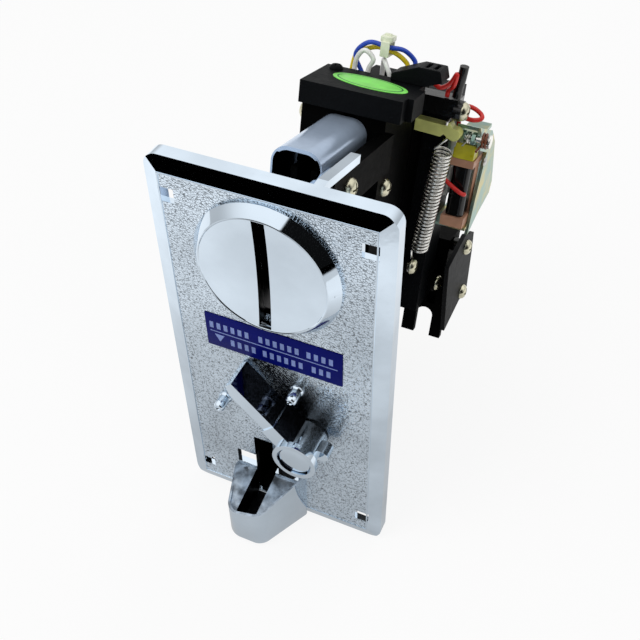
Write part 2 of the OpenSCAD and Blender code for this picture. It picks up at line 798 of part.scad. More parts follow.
// Cavities of the two body halves are boxed in by walls of the common thickness
module body_left() color("dimgray") leaned() difference() {
    union() {
        difference() {
            span([left_x + left_cover_t, body_front, body_low], [-half_gap, body_back, body_top]);
            span([left_x, body_front + wall, body_low + wall],
                [-half_gap - coin_wall, body_back - wall, body_top - wall]);
        }
        // Rail that the coin rolls on, and the wall that parts accepted from rejected coins
        side_slab(-half_gap - wall / 2, half_gap - seat_gap) polygon([[body_front, rail_front_z - rail_t],
            [body_front + rail_len, rail_front_z - rail_drop - rail_t],
            [body_front + rail_len, rail_front_z - rail_drop],
            [body_front, rail_front_z]]);
        span([-half_gap - wall / 2, divider_y, body_low],
            [half_gap - seat_gap, divider_y + divider_t, divider_top]);
        // Corner posts that take the cover's screws
        for (y = [body_front + wall, body_back - post_w - wall],
            z = [body_low + wall, body_top - post_w - wall])
            span([left_x + left_cover_t, y, z], [-half_gap - wall, y + post_w, z + post_w]);
    }
    for (p = cover_points) x_rod(left_x, -half_gap - coin_wall, p[0], p[1], screw_shank_r + run_gap);
}
cover_points = [for (y = [body_front + wall + post_w / 2, body_back - wall - post_w / 2],
    z = [body_low + wall + post_w / 2, body_top - wall - post_w / 2]) [y, z]];

module left_cover() color("dimgray") leaned() difference() {
    span([left_x, body_front, body_low], [left_x + left_cover_t, body_back, body_top]);
    for (p = cover_points) x_rod(left_x - cut, left_x + left_cover_t + cut, p[0], p[1],
        screw_shank_r + run_gap);
    // Vents over the sample coin
    for (i = [-2:2]) span([left_x - cut, coil_y - coil_r, coil_z + 3 * cut * i],
        [left_x + left_cover_t + cut, coil_y + coil_r, coil_z + 3 * cut * i + cut]);
}

module cover_screws() color("gainsboro") leaned() for (p = cover_points)
    screw_left(left_x, p[0], p[1], left_cover_t + boss_r);

module body_right() color("dimgray") leaned() difference() {
    union() {
        difference() {
            span([half_gap, body_front, body_low], [right_x, body_back, body_top]);
            // Room for the flap to swing, open to the coin passage
            span([half_gap - cut, body_front + wall, body_low - cut],
                [right_x - wall, body_back - wall, body_top - wall]);
        }
        // Raised rear panel, and bosses for the spring's screw and the front screw
        span([right_x - wall, body_back - body_depth * 3 / 10, body_low],
            [right_x + wall / 4, body_back, lug_z0 - seat_gap]);
        x_rod(right_x - wall / 2, right_x + spring_boss_h, spring_screw_y, spring_screw_z, spring_boss_r);
        // Arm that reaches forward to the plate's ear
        span([right_x - wall, arm_start, ear_low],
            [bar_x + bar_w - seat_gap, body_front + wall, bar_low - seat_gap]);
    }
    x_rod(right_x - 2 * wall, plate_w, arm_hole_y, arm_hole_z, screw_shank_r + run_gap);
    // Slot for the tension arm
    span([right_x - 2 * wall, arm_y - arm_w / 2 - seat_gap, arm_z - arm_h / 2 - cut],
        [right_x + wall, arm_y + arm_w / 2 + seat_gap, arm_z + arm_h]);
    // Bores for the flap's pin, and the slot for the flap's tab
    y_rod(body_front - cut, body_back + cut, flap_pin_x, flap_pin_z, flap_pin_r);
    span([half_gap - cut, body_front - cut, tab_z0 - cut],
        [right_x - wall, body_front + wall + cut, tab_z1 + cut]);
    x_rod(right_x - 2 * wall, right_x + spring_boss_h + cut, spring_screw_y, spring_screw_z,
        screw_shank_r + run_gap);
    x_rod(right_x - 2 * wall, right_x + cut, front_screw[0], front_screw[1], screw_shank_r + run_gap);
}

module top_cap() color("dimgray") leaned() difference() {
    union() {
        span([cap_left, cap_front, body_top], [cap_right, cap_back, body_top + cap_h]);
        span([cap_right - cut, cap_lug_y0, body_top], [cap_lug_x, cap_lug_y1, body_top + cap_h]);
    }
    translate([cap_screw[0], cap_screw[1], body_top - cut])
        cylinder(h = cap_h + 2 * cut, r = small_shank_r + run_gap, $fn = fine);
    // Hollow underside
    span([cap_left + 2 * wall, body_front + 2 * wall, body_top - cut],
        [-half_gap - 2 * wall, cap_back - 2 * wall, body_top + cap_h / 2]);
}
cap_screw = [cap_left + small_head_r + wall, cap_back - small_head_r - wall / 2];

module cap_screws() color("dimgray") leaned() translate([cap_screw[0], cap_screw[1], body_top + cap_h])
    pan_screw(small_head_r, small_head_h, small_shank_r, cap_h);

module cap_sticker() color("lime") leaned() translate([sticker_x, sticker_y, body_top + cap_h])
    rotate(sticker_turn)
    scale([1, sticker_ry / sticker_rx, 1]) cylinder(h = sticker_t, r = sticker_rx, $fn = 2 * fine);

module release_flap() color("black") leaned() difference() {
    union() {
        span([half_gap, body_front + wall + flap_side_gap, flap_low],
            [half_gap + flap_t, body_back - wall - flap_side_gap, flap_pin_z]);
        y_rod(body_front + wall + flap_side_gap, body_back - wall - flap_side_gap, flap_pin_x,
            flap_pin_z, barrel_r);
        span([half_gap, body_front + wall + flap_side_gap, flap_pin_z - barrel_r],
            [flap_pin_x, body_back - wall - flap_side_gap, flap_pin_z]);
        // Tab in front of the body, that the lever's pin pushes
        span([half_gap, tab_y0, tab_z0 + cut], [half_gap + flap_t, body_front + 2 * wall, tab_z1]);
        span([half_gap, tab_y0, tab_z0 + cut], [tab_x, tab_y1, tab_z1]);
    }
    y_rod(body_front, body_back, flap_pin_x, flap_pin_z, flap_pin_r + run_gap);
}

module flap_pin() color("gainsboro") leaned()
    y_rod(body_front + seat_gap, body_back - seat_gap, flap_pin_x, flap_pin_z, flap_pin_r);

// Nylon arm clipped over the flap's barrel, that the long spring pulls down
module tension_arm() color("darkkhaki") leaned() translate([0, arm_y - arm_w / 2, 0]) rotate([90, 0, 0])
    translate([0, 0, -arm_w]) linear_extrude(arm_w) {
        z = arm_z - arm_h / 2;
        difference() {
            translate([flap_pin_x, z]) square([2 * barrel_r, flap_pin_z - z]);
            translate([flap_pin_x, flap_pin_z]) circle(r = barrel_r, $fn = fine);
        }
        polygon([[flap_pin_x + barrel_r, z], [arm_notch_x - cut, z - cut / 2], [arm_notch_x, z + cut / 2],
            [arm_peak_x, z - cut / 2], [arm_tip_x - arm_h / 2, z - cut],
                [arm_tip_x - arm_h / 2, z + arm_h - cut],
            [arm_peak_x + cut, z + arm_h - cut], [arm_peak_x, z + arm_h + arm_peak_h],
            [arm_notch_x, z + arm_h - cut / 2],
            [flap_pin_x + barrel_r, z + arm_h]]);
        translate([arm_tip_x - arm_h / 2, z + arm_h / 2 - cut]) circle(r = arm_h / 2, $fn = fine);
    }

// Long spring from its lower to its upper end, with one loop round the screw and one in the arm's notch
spring_r = (spring_od - spring_wire) / 2;
spring_len = norm(spring_top - spring_low);
spring_way = unit(spring_top - spring_low);
spring_u = -side_of([1, 0, 0], spring_way);
spring_v = cross(spring_way, spring_u);
low_loop_r = 2.3;
low_loop = [right_x + spring_boss_h + spring_wire * 3 / 4, spring_screw_y,
    spring_screw_z + spring_wire * 2 / 3];
top_loop_r = 3.3;
top_loop = [(arm_notch_x + arm_peak_x) / 2, arm_y, arm_z];
loop_turn = 240;
loop_step = 20;
low_leg = (low_loop + [0, 0, low_loop_r] + spring_low + spring_r * spring_u) / 2;
top_leg = (top_loop - [0, 0, top_loop_r] + spring_top + spring_r * spring_u) / 2;
function loop_points(c, r, first, last) = [for (a = [first:loop_step:last])
    [c[0], c[1] + r * sin(a), c[2] - r * cos(a)]];
module tension_spring() color("lightgray") leaned() bent_wire(concat(
    loop_points(low_loop, low_loop_r, 180 - loop_turn, 180),
    [low_leg],
    [for (c = coil_points(spring_r, spring_len / spring_coils, spring_coils, 10))
        spring_low + c[0] * spring_u + c[1] * spring_v + c[2] * spring_way],
    [top_leg],
    loop_points(top_loop, top_loop_r, 0, loop_turn)), spring_wire / 2, 6);

module spring_screw() color("gainsboro") leaned()
    screw_right(right_x + spring_boss_h + 3 * spring_wire / 2, spring_screw_y, spring_screw_z,
        spring_boss_h + spring_wire + wall);

// Flat round coil: a flanged bobbin with its winding in the groove
module sense_coil(x, t) translate([x, coil_y, coil_z]) rotate([0, 90, 0]) {
    difference() {
        union() {
            cylinder(h = t, r = coil_r - coil_step, $fn = fine);
            cylinder(h = t / 4, r = coil_r, $fn = fine);
            translate([0, 0, t * 3 / 4]) cylinder(h = t / 4, r = coil_r, $fn = fine);
        }
        translate([0, 0, -cut]) cylinder(h = t + 2 * cut, r = coil_r / 4, $fn = fine);
    }
}

module inner_coil() color("sienna") leaned() sense_coil(-half_gap - coin_wall - coil_t, coil_t);
module outer_coil() color("sienna") leaned() sense_coil(left_x + left_cover_t, coil_t);
module right_coil() color("sienna") leaned() sense_coil(right_x - wall - right_coil_t, right_coil_t);

module sample_coin() color("gold") leaned()
    x_rod(left_x + left_cover_t + coil_t, left_x + left_cover_t + coil_t + sample_t, coil_y, coil_z,
        sample_r);

// Plan of the chute at a wall inset: narrow at the window, wider under the body
module chute_plan(t) {
    x0 = groove_x - groove_w / 2 - t;
    x1 = groove_x + groove_w / 2 + t;
    over = t > 0 ? 0 : cut;
    polygon([[x0, chute_front_y - over], [x1, chute_front_y - over], [x1, hopper_y0],
        [hopper_x + t, hopper_y1],
        [hopper_x + t, chute_back_y - (t > 0 ? 0 : chute_wall)],
            [x0, chute_back_y - (t > 0 ? 0 : chute_wall)]]);
}

// The space between two parallel floors, seen from the side
module chute_side(floor_drop) {
    bottom = [for (y = [chute_front_y - cut, chute_back_y + cut]) [y, chute_floor_front - floor_drop
        + (y - chute_front_y) * (chute_floor_back - chute_floor_front) / (chute_back_y - chute_front_y)]];
    polygon([bottom[0], bottom[1], [chute_back_y + cut, 0], [chute_front_y - cut, 0]]);
}

module return_chute() color("black") intersection() {
    difference() {
        intersection() {
            linear_extrude(2 * plate_h, center = true) chute_plan(chute_wall);
            side_slab(-plate_w, plate_w) chute_side(chute_wall);
        }
        intersection() {
            linear_extrude(2 * plate_h, center = true) chute_plan(0);
            side_slab(-plate_w, plate_w) chute_side(0);
        }
    }
    union() {
        span([-plate_w, chute_front_y, -plate_h],
            [plate_w, body_low * sin(lean_deg) + body_front - seat_gap - cut, chute_top]);
        leaned() span([-plate_w, -plate_h, -plate_h], [plate_w, plate_h, body_low]);
    }
}

module connector_box() color("black") leaned() difference() {
    translate([0, box_back, 0]) rotate([90, 0, 0]) linear_extrude(box_back - box_front) polygon([
        [box_low_x, body_top + cap_h], [cap_right, body_top + cap_h],
            [box_end_x, body_top + cap_h + box_low_h],
        [box_high_x, box_high_z], [box_turn_x, box_high_z], [box_low_x, body_top + cap_h + box_low_h]]);
    // Two sunk grooves across the top
    for (x = [box_turn_x + box_wall, (box_turn_x + box_high_x) / 2 + box_wall / 2])
        span([x, box_front + box_wall, box_high_z - box_low_h],
            [x + (box_high_x - box_turn_x) / 2 - 3 * box_wall / 2, box_back - box_wall,
                box_high_z + cut]);
}

module rear_case() color("black") leaned() difference() {
    span([case_left, body_back, case_low], [case_right, case_back, case_top]);
    span([case_left + wall, body_back + wall, case_low + wall],
        [case_right - wall, case_back + cut, case_top - wall]);
    // Slot for the gate, its pin's hole, and the cable hole in the roof
    span([-half_gap, body_back - cut, gate_pin_z - 4 * wall],
        [half_gap, body_back + wall + cut, gate_pin_z + 4 * wall]);
    x_rod(case_right - 2 * wall, case_right + cut, gate_pin_y, gate_pin_z, gate_pin_r + run_gap);
    span([case_left + 3 * wall, body_back + 3 * wall, case_top - 2 * wall],
        [case_left + 8 * wall, body_back + 6 * wall, case_top + cut]);
}

module circuit_board() color("darkgreen") leaned() difference() {
    union() {
        span([case_left + wall + seat_gap, case_back - board_t - board_margin,
            case_low + wall + seat_gap],
            [case_right - wall - seat_gap, case_back - board_margin, case_top - wall - seat_gap]);
        // Chips and a plug socket on the back of the board
        for (i = [0:2]) translate([0, 0, case_low + chip_low + chip_pitch * i])
            span([case_left + 3 * wall, case_back - board_margin - cut / 4, 0],
                [case_left + 3 * wall + chip_w, case_back - board_margin + cut, chip_h]);
        span([case_right - 3 * wall - plug_w, case_back - board_margin - cut / 4, case_low + plug_low],
            [case_right - 3 * wall, case_back - board_margin + board_t, case_low + plug_low + plug_h]);
    }
    for (z = board_z) y_rod(body_back, case_back + cut, board_x, z, small_shank_r + run_gap);
}
board_x = case_right - wall - 2 * small_head_r;
board_z = [case_low + wall + small_head_r + cut, case_top - wall - small_head_r - cut];

module board_screws() color("gainsboro") leaned() for (z = board_z)
    translate([board_x, case_back - board_margin, z])
    rotate([-90, 0, 0]) pan_screw(small_head_r, small_head_h, small_shank_r, board_t + board_margin);

module side_lug() color("black") leaned() difference() {
    union() {
        span([right_x, lug_y0, lug_z0], [lug_end_x, lug_y1, lug_z1]);
        x_rod(lug_end_x - cut, lug_end_x + boss_h / 2, lug_screw_y, lug_screw_z, lug_r);
        span([lug_end_x - cut - lug_r, lug_screw_y - lug_r, lug_z0],
            [lug_end_x, lug_screw_y, lug_screw_z]);
    }
    x_rod(lug_end_x - 3 * boss_h, lug_end_x + 2 * boss_h, lug_screw_y, lug_screw_z,
        screw_shank_r + run_gap);
}

module body_screws() color("gainsboro") leaned() {
    screw_right(right_x, front_screw[0], front_screw[1], wall);
    screw_right(lug_end_x + boss_h / 2, lug_screw_y, lug_screw_z, 2 * boss_h);
}

module leg_frame() color("black") leaned() difference() {
    union() {
        span([leg_left, leg_y0, leg_low], [leg_right - rear_plate_t - seat_gap, leg_y1, leg_top]);
        // Tongue up the back of the case's side, and the boss of the low screw
        span([case_right, low_screw[0] - boss_r, low_screw[1] - boss_r],
            [case_right + boss_h / 2, leg_y1, leg_top + boss_r]);
        x_rod(case_right, case_right + boss_h, low_screw[0], low_screw[1], boss_r);
    }
    span([notch_x0, leg_y0 - cut, leg_low - cut], [notch_x1, leg_y1 + cut, notch_top]);
    translate([(notch_x0 + notch_x1) / 2, leg_y0 - cut, notch_top]) rotate([-90, 0, 0])
        cylinder(h = leg_y1 - leg_y0 + 2 * cut, r = (notch_x1 - notch_x0) / 2, $fn = fine);
    span([window_x0, leg_y0 - cut, window_z0], [notch_x1, leg_y1 + cut, window_z1]);
    x_rod(case_right - cut, case_right + 2 * boss_h, low_screw[0], low_screw[1], screw_shank_r + run_gap);
}

module gate_block() color("black") leaned() difference() {
    span([leg_left, gate_block_y0, gate_block_z0], [gate_block_x1, gate_block_y1, gate_block_z1]);
    // Chute for accepted coins, open at the bottom
    span([leg_left + 2 * wall, gate_block_y0 + wall, gate_block_z0 - cut],
        [gate_block_x1 - 2 * wall, gate_block_y1 - wall, gate_block_z1 - wall]);
    for (p = rear_points) x_rod(gate_block_x1 - wall, gate_block_x1 + cut, p[0], p[1],
        screw_shank_r + run_gap);
}

// Outline from the body's lower back corner, in shares of the body's depth
rear_shares = [[0.054, 0.946], [0.149, 0.678], [0.370, 0.122], [0.805, 0.249], [1.086, 0.203],
    [0.951, 0.738], [0.870, 0.968], [0.516, 1.078]];
module rear_plate() color("gray") leaned() difference() {
    side_slab(rear_plate_x - rear_plate_t, rear_plate_x) translate([body_back, body_low])
        polygon([for (p = rear_shares) body_depth * p]);
    for (p = rear_points) x_rod(gate_block_x1, rear_plate_x + cut, p[0], p[1], screw_shank_r + run_gap);
}

module rear_spacers() color("black") leaned() for (p = rear_points) difference() {
    x_rod(gate_block_x1, rear_plate_x - rear_plate_t, p[0], p[1], rear_spacer_r);
    x_rod(gate_block_x1 - cut, rear_plate_x, p[0], p[1], screw_shank_r + run_gap);
}

module rear_screws() color("gainsboro") leaned() {
    for (p = rear_points) screw_right(rear_plate_x, p[0], p[1], rear_plate_x - gate_block_x1 + wall);
    screw_right(case_right + boss_h, low_screw[0], low_screw[1], boss_h);
}

// Outlines from the body's upper back corner, in shares of the body's depth
bracket_shares = [[-0.170, -0.192], [0.324, -0.351], [0.514, -0.503], [0.746, -0.943],
    [0.722, -1.051], [0.365, -1.132], [0.108, -1.232], [0.154, -0.922], [0.259, -0.524],
        [-0.027, -0.422]];
ear_shares = [[-0.170, -0.192], [0.000, -0.246], [-0.059, -0.341], [-0.162, -0.341]];
ear_outline = [for (p = ear_shares) body_depth * p];
lip_outline = [ear_outline[0], ear_outline[1], ear_outline[1] - [0, bracket_t],
    ear_outline[0] - [0, bracket_t]];
module solenoid_bracket() color("darkkhaki") leaned() difference() {
    union() {
        // Side plate, top lip and the inner ear round the armature's pin
        side_slab(bracket_x, bracket_x + bracket_t) translate([body_back, body_top])
            polygon([for (p = bracket_shares) body_depth * p]);
        side_slab(bracket_ear_x, bracket_x + bracket_t / 2) translate([body_back, body_top])
            polygon(lip_outline);
        side_slab(bracket_ear_x, bracket_ear_x + bracket_t) translate([body_back, body_top])
            polygon(ear_outline);
        // Foot under the coil, bolted to the case
        span([case_right, sol_y0 + wall, bracket_foot_z],
            [bracket_x + bracket_t / 2, sol_y1, bracket_foot_z + bracket_t]);
    }
    x_rod(bracket_ear_x - cut, bracket_x + bracket_t + cut, arm_pin_y, arm_pin_z, arm_pin_r + run_gap);
}

module solenoid_bobbin() color("khaki") leaned() difference() {
    union() {
        span([sol_x0, sol_y0, sol_top - flange_t], [sol_x1, sol_y1, sol_top]);
        span([sol_x0, sol_y0, sol_low - cut], [sol_x1, sol_y1, sol_low + flange_t]);
        translate([(sol_x0 + sol_x1) / 2, (sol_y0 + sol_y1) / 2, sol_low])
            cylinder(h = sol_top - sol_low, r = core_r + wall / 2, $fn = fine);
    }
    translate([(sol_x0 + sol_x1) / 2, (sol_y0 + sol_y1) / 2, sol_low - 2 * cut])
        cylinder(h = sol_top, r = core_r, $fn = fine);
}

module solenoid_coil() color("black") leaned() difference() {
    translate([0, 0, sol_low + flange_t]) linear_extrude(sol_top - sol_low - 2 * flange_t)
        translate([(sol_x0 + sol_x1) / 2, (sol_y0 + sol_y1) / 2])
        round_rect(sol_x1 - sol_x0 - 2 * coil_in, sol_y1 - sol_y0 - 2 * coil_in, coil_in * 2);
    translate([(sol_x0 + sol_x1) / 2, (sol_y0 + sol_y1) / 2, sol_low])
        cylinder(h = sol_top, r = core_r + wall / 2, $fn = fine);
}

module solenoid_core() color("silver") leaned()
    translate([(sol_x0 + sol_x1) / 2, (sol_y0 + sol_y1) / 2, bracket_foot_z + bracket_t])
    cylinder(h = core_top - bracket_foot_z - bracket_t, r = core_r, $fn = fine);

module coil_tape() color("yellow") leaned() difference() {
    span([sol_x0 + coil_in / 2, sol_y0, sol_top], [sol_x1 - coil_in / 2, tape_y1, sol_top + tape_h]);
    span([sol_x0 - cut, sol_y0 - cut, sol_top + tape_h * 2 / 3],
        [sol_x0 + coil_in, tape_y1 + cut, sol_top + 2 * tape_h]);
}

module armature() color("lightgray") leaned() difference() {
    union() {
        // Clapper plate over the core, hung on the pin by two ears
        span([bracket_ear_x + bracket_t + seat_gap, arm_pin_y + 5 * arm_pin_r / 2, armature_z],
            [sol_x1, armature_end, armature_z + armature_t]);
        span([sol_x0 + coil_in, arm_pin_y + 5 * arm_pin_r, armature_z],
            [sol_x1, armature_end, armature_z + armature_t]);
        for (x = [sol_x1 - armature_t, bracket_ear_x + bracket_t + seat_gap])
            side_slab(x, x + armature_t) polygon([[arm_pin_y - 2 * arm_pin_r, arm_pin_z],
                [arm_pin_y - arm_pin_r, arm_pin_z + 2 * arm_pin_r * dome_share],
                [arm_pin_y + arm_pin_r, arm_pin_z + 2 * arm_pin_r * dome_share],
                [arm_pin_y + 5 * arm_pin_r, armature_z + armature_t / 2],
                    [arm_pin_y + arm_pin_r, armature_z],
                [arm_pin_y - 2 * arm_pin_r, armature_z + armature_t / 2]]);
        // Arm to the left, and the link that reaches down to the gate's crank
        span([link_x0, link_y - 3 * link_t, armature_z],
            [sol_x0 + 2 * coil_in, link_y + 3 * link_t, armature_z + armature_t]);
        span([link_x0, link_y - 3 * link_t, link_low],
            [link_x0 + link_t, link_y + 3 * link_t, armature_z + armature_t]);
    }
    x_rod(bracket_ear_x, bracket_x, arm_pin_y, arm_pin_z, arm_pin_r + run_gap);
    // Slot for the crank's pin
    span([link_x0 - cut, link_y - gate_pin_r, gate_pin_z + gate_crank_r - 2 * gate_pin_r],
        [link_x0 + link_t + cut, link_y + gate_pin_r, gate_pin_z + gate_crank_r + 2 * gate_pin_r]);
}

module armature_pin() color("lightgray") leaned() {
    x_rod(bracket_ear_x - cut, arm_pin_out, arm_pin_y, arm_pin_z, arm_pin_r);
    x_rod(arm_pin_out, arm_pin_out + armature_t / 2, arm_pin_y, arm_pin_z, arm_pin_r * 2);
}

pin_coil_wire = 0.28;
pin_coil_r = 1.5;
pin_coil_pitch = 0.6;
pin_coil_turns = 2.25;
pin_leg = 4;
module armature_spring() color("lightgray") leaned()
    translate([bracket_ear_x + bracket_t + armature_t + 2 * seat_gap + pin_coil_wire, arm_pin_y,
        arm_pin_z])
    rotate([0, 90, 0]) bent_wire(concat([[pin_coil_r, -pin_leg, 0]],
        coil_points(pin_coil_r, pin_coil_pitch, pin_coil_turns, 16),
        [[0, pin_leg, pin_coil_pitch * pin_coil_turns]]), pin_coil_wire, 6);

post_coil_wire = 0.4;
post_coil_r = 2;
post_coil_pitch = 0.88;
post_coil_turns = 2;
post_leg = 5;
module post_spring() color("saddlebrown") leaned()
    translate([bracket_x + bracket_t + post_coil_wire + seat_gap / 4, arm_pin_y, arm_pin_z])
    rotate([0, 90, 0]) bent_wire(concat([[post_coil_r, -post_leg, 0]],
        coil_points(post_coil_r, post_coil_pitch, post_coil_turns, 16),
        [[post_coil_r, post_leg, post_coil_pitch * post_coil_turns]]), post_coil_wire, 6);

module accept_gate() color("white") leaned() {
    x_rod(-half_gap + seat_gap, gate_crank_x0 + gate_crank_t / 2, gate_pin_y, gate_pin_z, gate_pin_r);
    // Finger that reaches forward into the coin passage
    span([-half_gap + 2 * seat_gap, body_back - 4 * wall, gate_pin_z - gate_pin_r],
        [half_gap - 2 * seat_gap, gate_pin_y, gate_pin_z + gate_pin_r]);
    // Crank, and the pin that sits in the armature's link
    span([gate_crank_x0, gate_pin_y - gate_pin_r, gate_pin_z],
        [gate_crank_x0 + gate_crank_t, gate_pin_y + gate_pin_r, gate_pin_z + gate_crank_r + gate_pin_r]);
    x_rod(link_x0 - seat_gap, gate_crank_x0 + gate_crank_t / 2, gate_pin_y, gate_pin_z + gate_crank_r,
        crank_stud_r);
}

// Wires, held at both ends; their routes are chosen by hand from the body's upper back edge
tie_x = 1.6;
tie_low_z = body_top + 10.75;
tie_h = 5.6;
tie_w = 2.6;
tie_t = 0.5;
tie_y0 = body_back - 19.6;
tie_y1 = body_back - 14.8;
tie_hole_h = 3.2;
red_route = [[11.2, -15.9, 7.6], [11.4, -14, 7.4], [14, -12.6, 5.4], [17, -12.4, 3.8], [19.5, -12, 5.4],
    [21.1, -12.4, 8.4], [20.6, -11.8, 4.9], [18.9, -9.8, 2.8], [18.6, -9.4, 0.8]];
red_low_route = [[21.4, -4.5, -2.6], [21.8, -2.8, -2.6], [25.2, -2.4, -3], [28, -3.4, -4],
    [28.6, -5, -4.8],
    [26.6, -5.8, -5.4], [23.6, -5, -5.6], [21.6, -2.4, -6.4], [21.5, -0.4, -10.6], [22, 0, -14.5]];
red_coil_route = [[17, -0.1, -25], [17.2, -1.6, -25.1], [20, -2, -26.2], [22.6, -2, -28],
    [25.4, -1.8, -29.6],
    [26.8, -1, -30.4], [26.8, -0.1, -30.6]];
blue_route = [[-4.2, -18, 0.1], [-4.6, -17.8, 4.4], [-7.2, -18, 9.6], [-3.6, -18, 13.6], [2.2, -18, 13.3],
    [6, -15.4, 12.6], [8.8, -13.6, 10], [9.2, -14.2, 8.2], [9.2, -15.9, 8]];
yellow_route = [[-8.4, -16.2, 0.1], [-8.4, -16.2, 6], [-7.1, -16.2, 9.8], [-2.2, -16.2, 12.2],
    [1.6, -16.3, 12.1],
    [4.6, -15.4, 11], [6.8, -13.8, 8.8], [7.2, -14.4, 7.6], [7.2, -15.9, 7.4]];
white_route = [[-1.6, -19.5, 0.1], [-2.4, -19.6, 6.2], [-1.1, -20.1, 9.8], [-3.8, -20.1, 11.8],
    [-5.9, -20, 9.4],
    [-6.6, -19.5, 4.8], [-6.6, -19.5, 0.1]];
white_short_route = [[4.6, -19.4, 0.1], [4.6, -19.8, 5], [2.8, -19.6, 8.6], [1.4, -17.6, 9.4],
    [0.4, -15.4, 8.8],
    [0, -14.2, 5.4], [0, -14, 0.1]];
black_route = [[21.2, -8.8, 0.9], [21.5, -9, 3.4], [22.1, -10, 6.8], [22.4, -10.4, 10.4]];

module lead(route, r) leaned() translate([0, body_back, body_top]) bent_wire(curve(route, 6), r, 8);
module red_wires() color("red") {
    lead(red_route, lead_od / 2);
    lead(red_low_route, lead_od / 2);
    lead(red_coil_route, lead_od / 2);
}
module blue_wire() color("blue") lead(blue_route, lead_od / 2);
module yellow_wire() color("yellow") lead(yellow_route, lead_od / 2);
module white_wires() color("white") {
    lead(white_route, lead_od / 2);
    lead(white_short_route, lead_od / 2);
}
module black_wire() color("black") lead(black_route, lead_od);

module cable_tie() color("honeydew") leaned() difference() {
    span([tie_x - tie_w / 2, tie_y0, tie_low_z], [tie_x + tie_w / 2, tie_y1, tie_low_z + tie_h]);
    span([tie_x - tie_w, tie_y0 + tie_t, tie_low_z + tie_t],
        [tie_x + tie_w, tie_y1 - tie_t, tie_low_z + tie_t + tie_hole_h]);
}

front_plate();
coin_entry_disc();
disc_screws();
label_plate();
return_cup();
cup_screws();
reject_lever();
lever_shaft();
lever_spring();
lever_crank();
crank_pin();
lever_clip();
inlet_hood();
inlet_guide();
arm_screw();
body_left();
body_right();
left_cover();
cover_screws();
top_cap();
cap_screws();
cap_sticker();
release_flap();
flap_pin();
tension_arm();
tension_spring();
spring_screw();
inner_coil();
outer_coil();
right_coil();
sample_coin();
return_chute();
connector_box();
rear_case();
circuit_board();
board_screws();
side_lug();
body_screws();
leg_frame();
gate_block();
rear_plate();
rear_spacers();
rear_screws();
solenoid_bracket();
solenoid_bobbin();
solenoid_coil();
solenoid_core();
coil_tape();
armature();
armature_pin();
armature_spring();
post_spring();
accept_gate();
cable_tie();
red_wires();
blue_wire();
yellow_wire();
white_wires();
black_wire();
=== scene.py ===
import json
import math

import bpy
from mathutils import Matrix, Vector


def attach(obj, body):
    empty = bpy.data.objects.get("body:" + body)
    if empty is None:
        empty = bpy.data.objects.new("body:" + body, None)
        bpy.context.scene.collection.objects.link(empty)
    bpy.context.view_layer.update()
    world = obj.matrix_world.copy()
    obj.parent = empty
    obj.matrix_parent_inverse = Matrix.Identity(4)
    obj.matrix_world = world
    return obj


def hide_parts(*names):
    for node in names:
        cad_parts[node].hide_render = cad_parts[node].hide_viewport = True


mm = 0.001
leanAngle = math.radians(-15)  # everything behind the plate leans back and down
fieldY = -5.3  # front of the plate's grained field, in mm
skinBackY = -3.3

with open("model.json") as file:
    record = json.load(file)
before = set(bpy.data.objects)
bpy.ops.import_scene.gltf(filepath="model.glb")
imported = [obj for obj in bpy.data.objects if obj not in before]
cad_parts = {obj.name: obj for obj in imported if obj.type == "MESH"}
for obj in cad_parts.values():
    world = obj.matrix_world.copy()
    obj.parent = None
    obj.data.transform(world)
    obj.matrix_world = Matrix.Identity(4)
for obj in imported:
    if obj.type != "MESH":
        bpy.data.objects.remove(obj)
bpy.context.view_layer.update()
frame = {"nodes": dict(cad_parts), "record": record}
bodies = frame["record"]["behaviour"]["bodies"]
bodyOf = {node: body for body, nodes in bodies.items() for node in nodes}
slotOf = {part["node"]: part["material_slot"] for part in frame["record"]["subparts"]}
print("frame loaded:", len(bodyOf), "nodes")


# Camera, floor and light

cameraView = {
    "place": (0.081126, -0.149683, 0.186322),
    "right": (0.91136, 0.41142, -0.01266),
    "up": (-0.28310, 0.64885, 0.70630),
    "lens": 51.285,
    "sensor": 36,
}
studio = {
    "floorHeight": -0.0642,
    "floorSize": 6,
    "floorColour": (0.86, 0.86, 0.86, 1),
    "shadowShare": 0.12,  # how much of the floor's real shading shows
    "skyTop": 0.66,
    "skySide": 0.36,
    "skyLow": 0.22,
    "paper": (0.72, 1.35),  # the white sweep as the chrome sees it, low down and overhead
    "paperRise": (0.10, 0.75),  # how far up a direction points where the sweep is dimmest and brightest
    "room": 0.006,  # the dark room in front of the sweep, as the chrome sees it
    "paperFront": (-0.36, -0.25),  # metres in front of the object where the sweep ends
    "floorNear": (0.02, 0.18),  # metres from the object between which the floor brightens out of a painted shadow round the object, as the chrome sees it
    "sweepShare": 0.8,  # the rest of what the chrome sees of the sweep is its real shading
    "floorShine": (0.50, 1.10),  # and how bright the chrome sees it there
    "floorStep": (-0.152, -0.138),  # metres in front where a duller sheet starts
    "floorDull": 0.66,
    "roomSide": (-0.42, 0.02),  # how far a direction points forward where the room starts and is full
    "roomTop": (0.56, 0.64),  # and how far up where it ends, straight ahead
    "roomLean": -1.2,  # and how much higher that is to the right
}
lamps = {
    "keyPanel": {"place": (-0.35, -0.45, 0.75), "aim": (0, 0.02, 0), "size": 0.5, "watts": 2.6},
    "fillPanel": {"place": (0.7, -0.15, 0.45), "aim": (0, 0.03, 0), "size": 0.45, "watts": 0.7},
    "backPanel": {"place": (0.15, 0.8, 0.6), "aim": (0, 0.04, 0), "size": 0.5, "watts": 0.9},
}


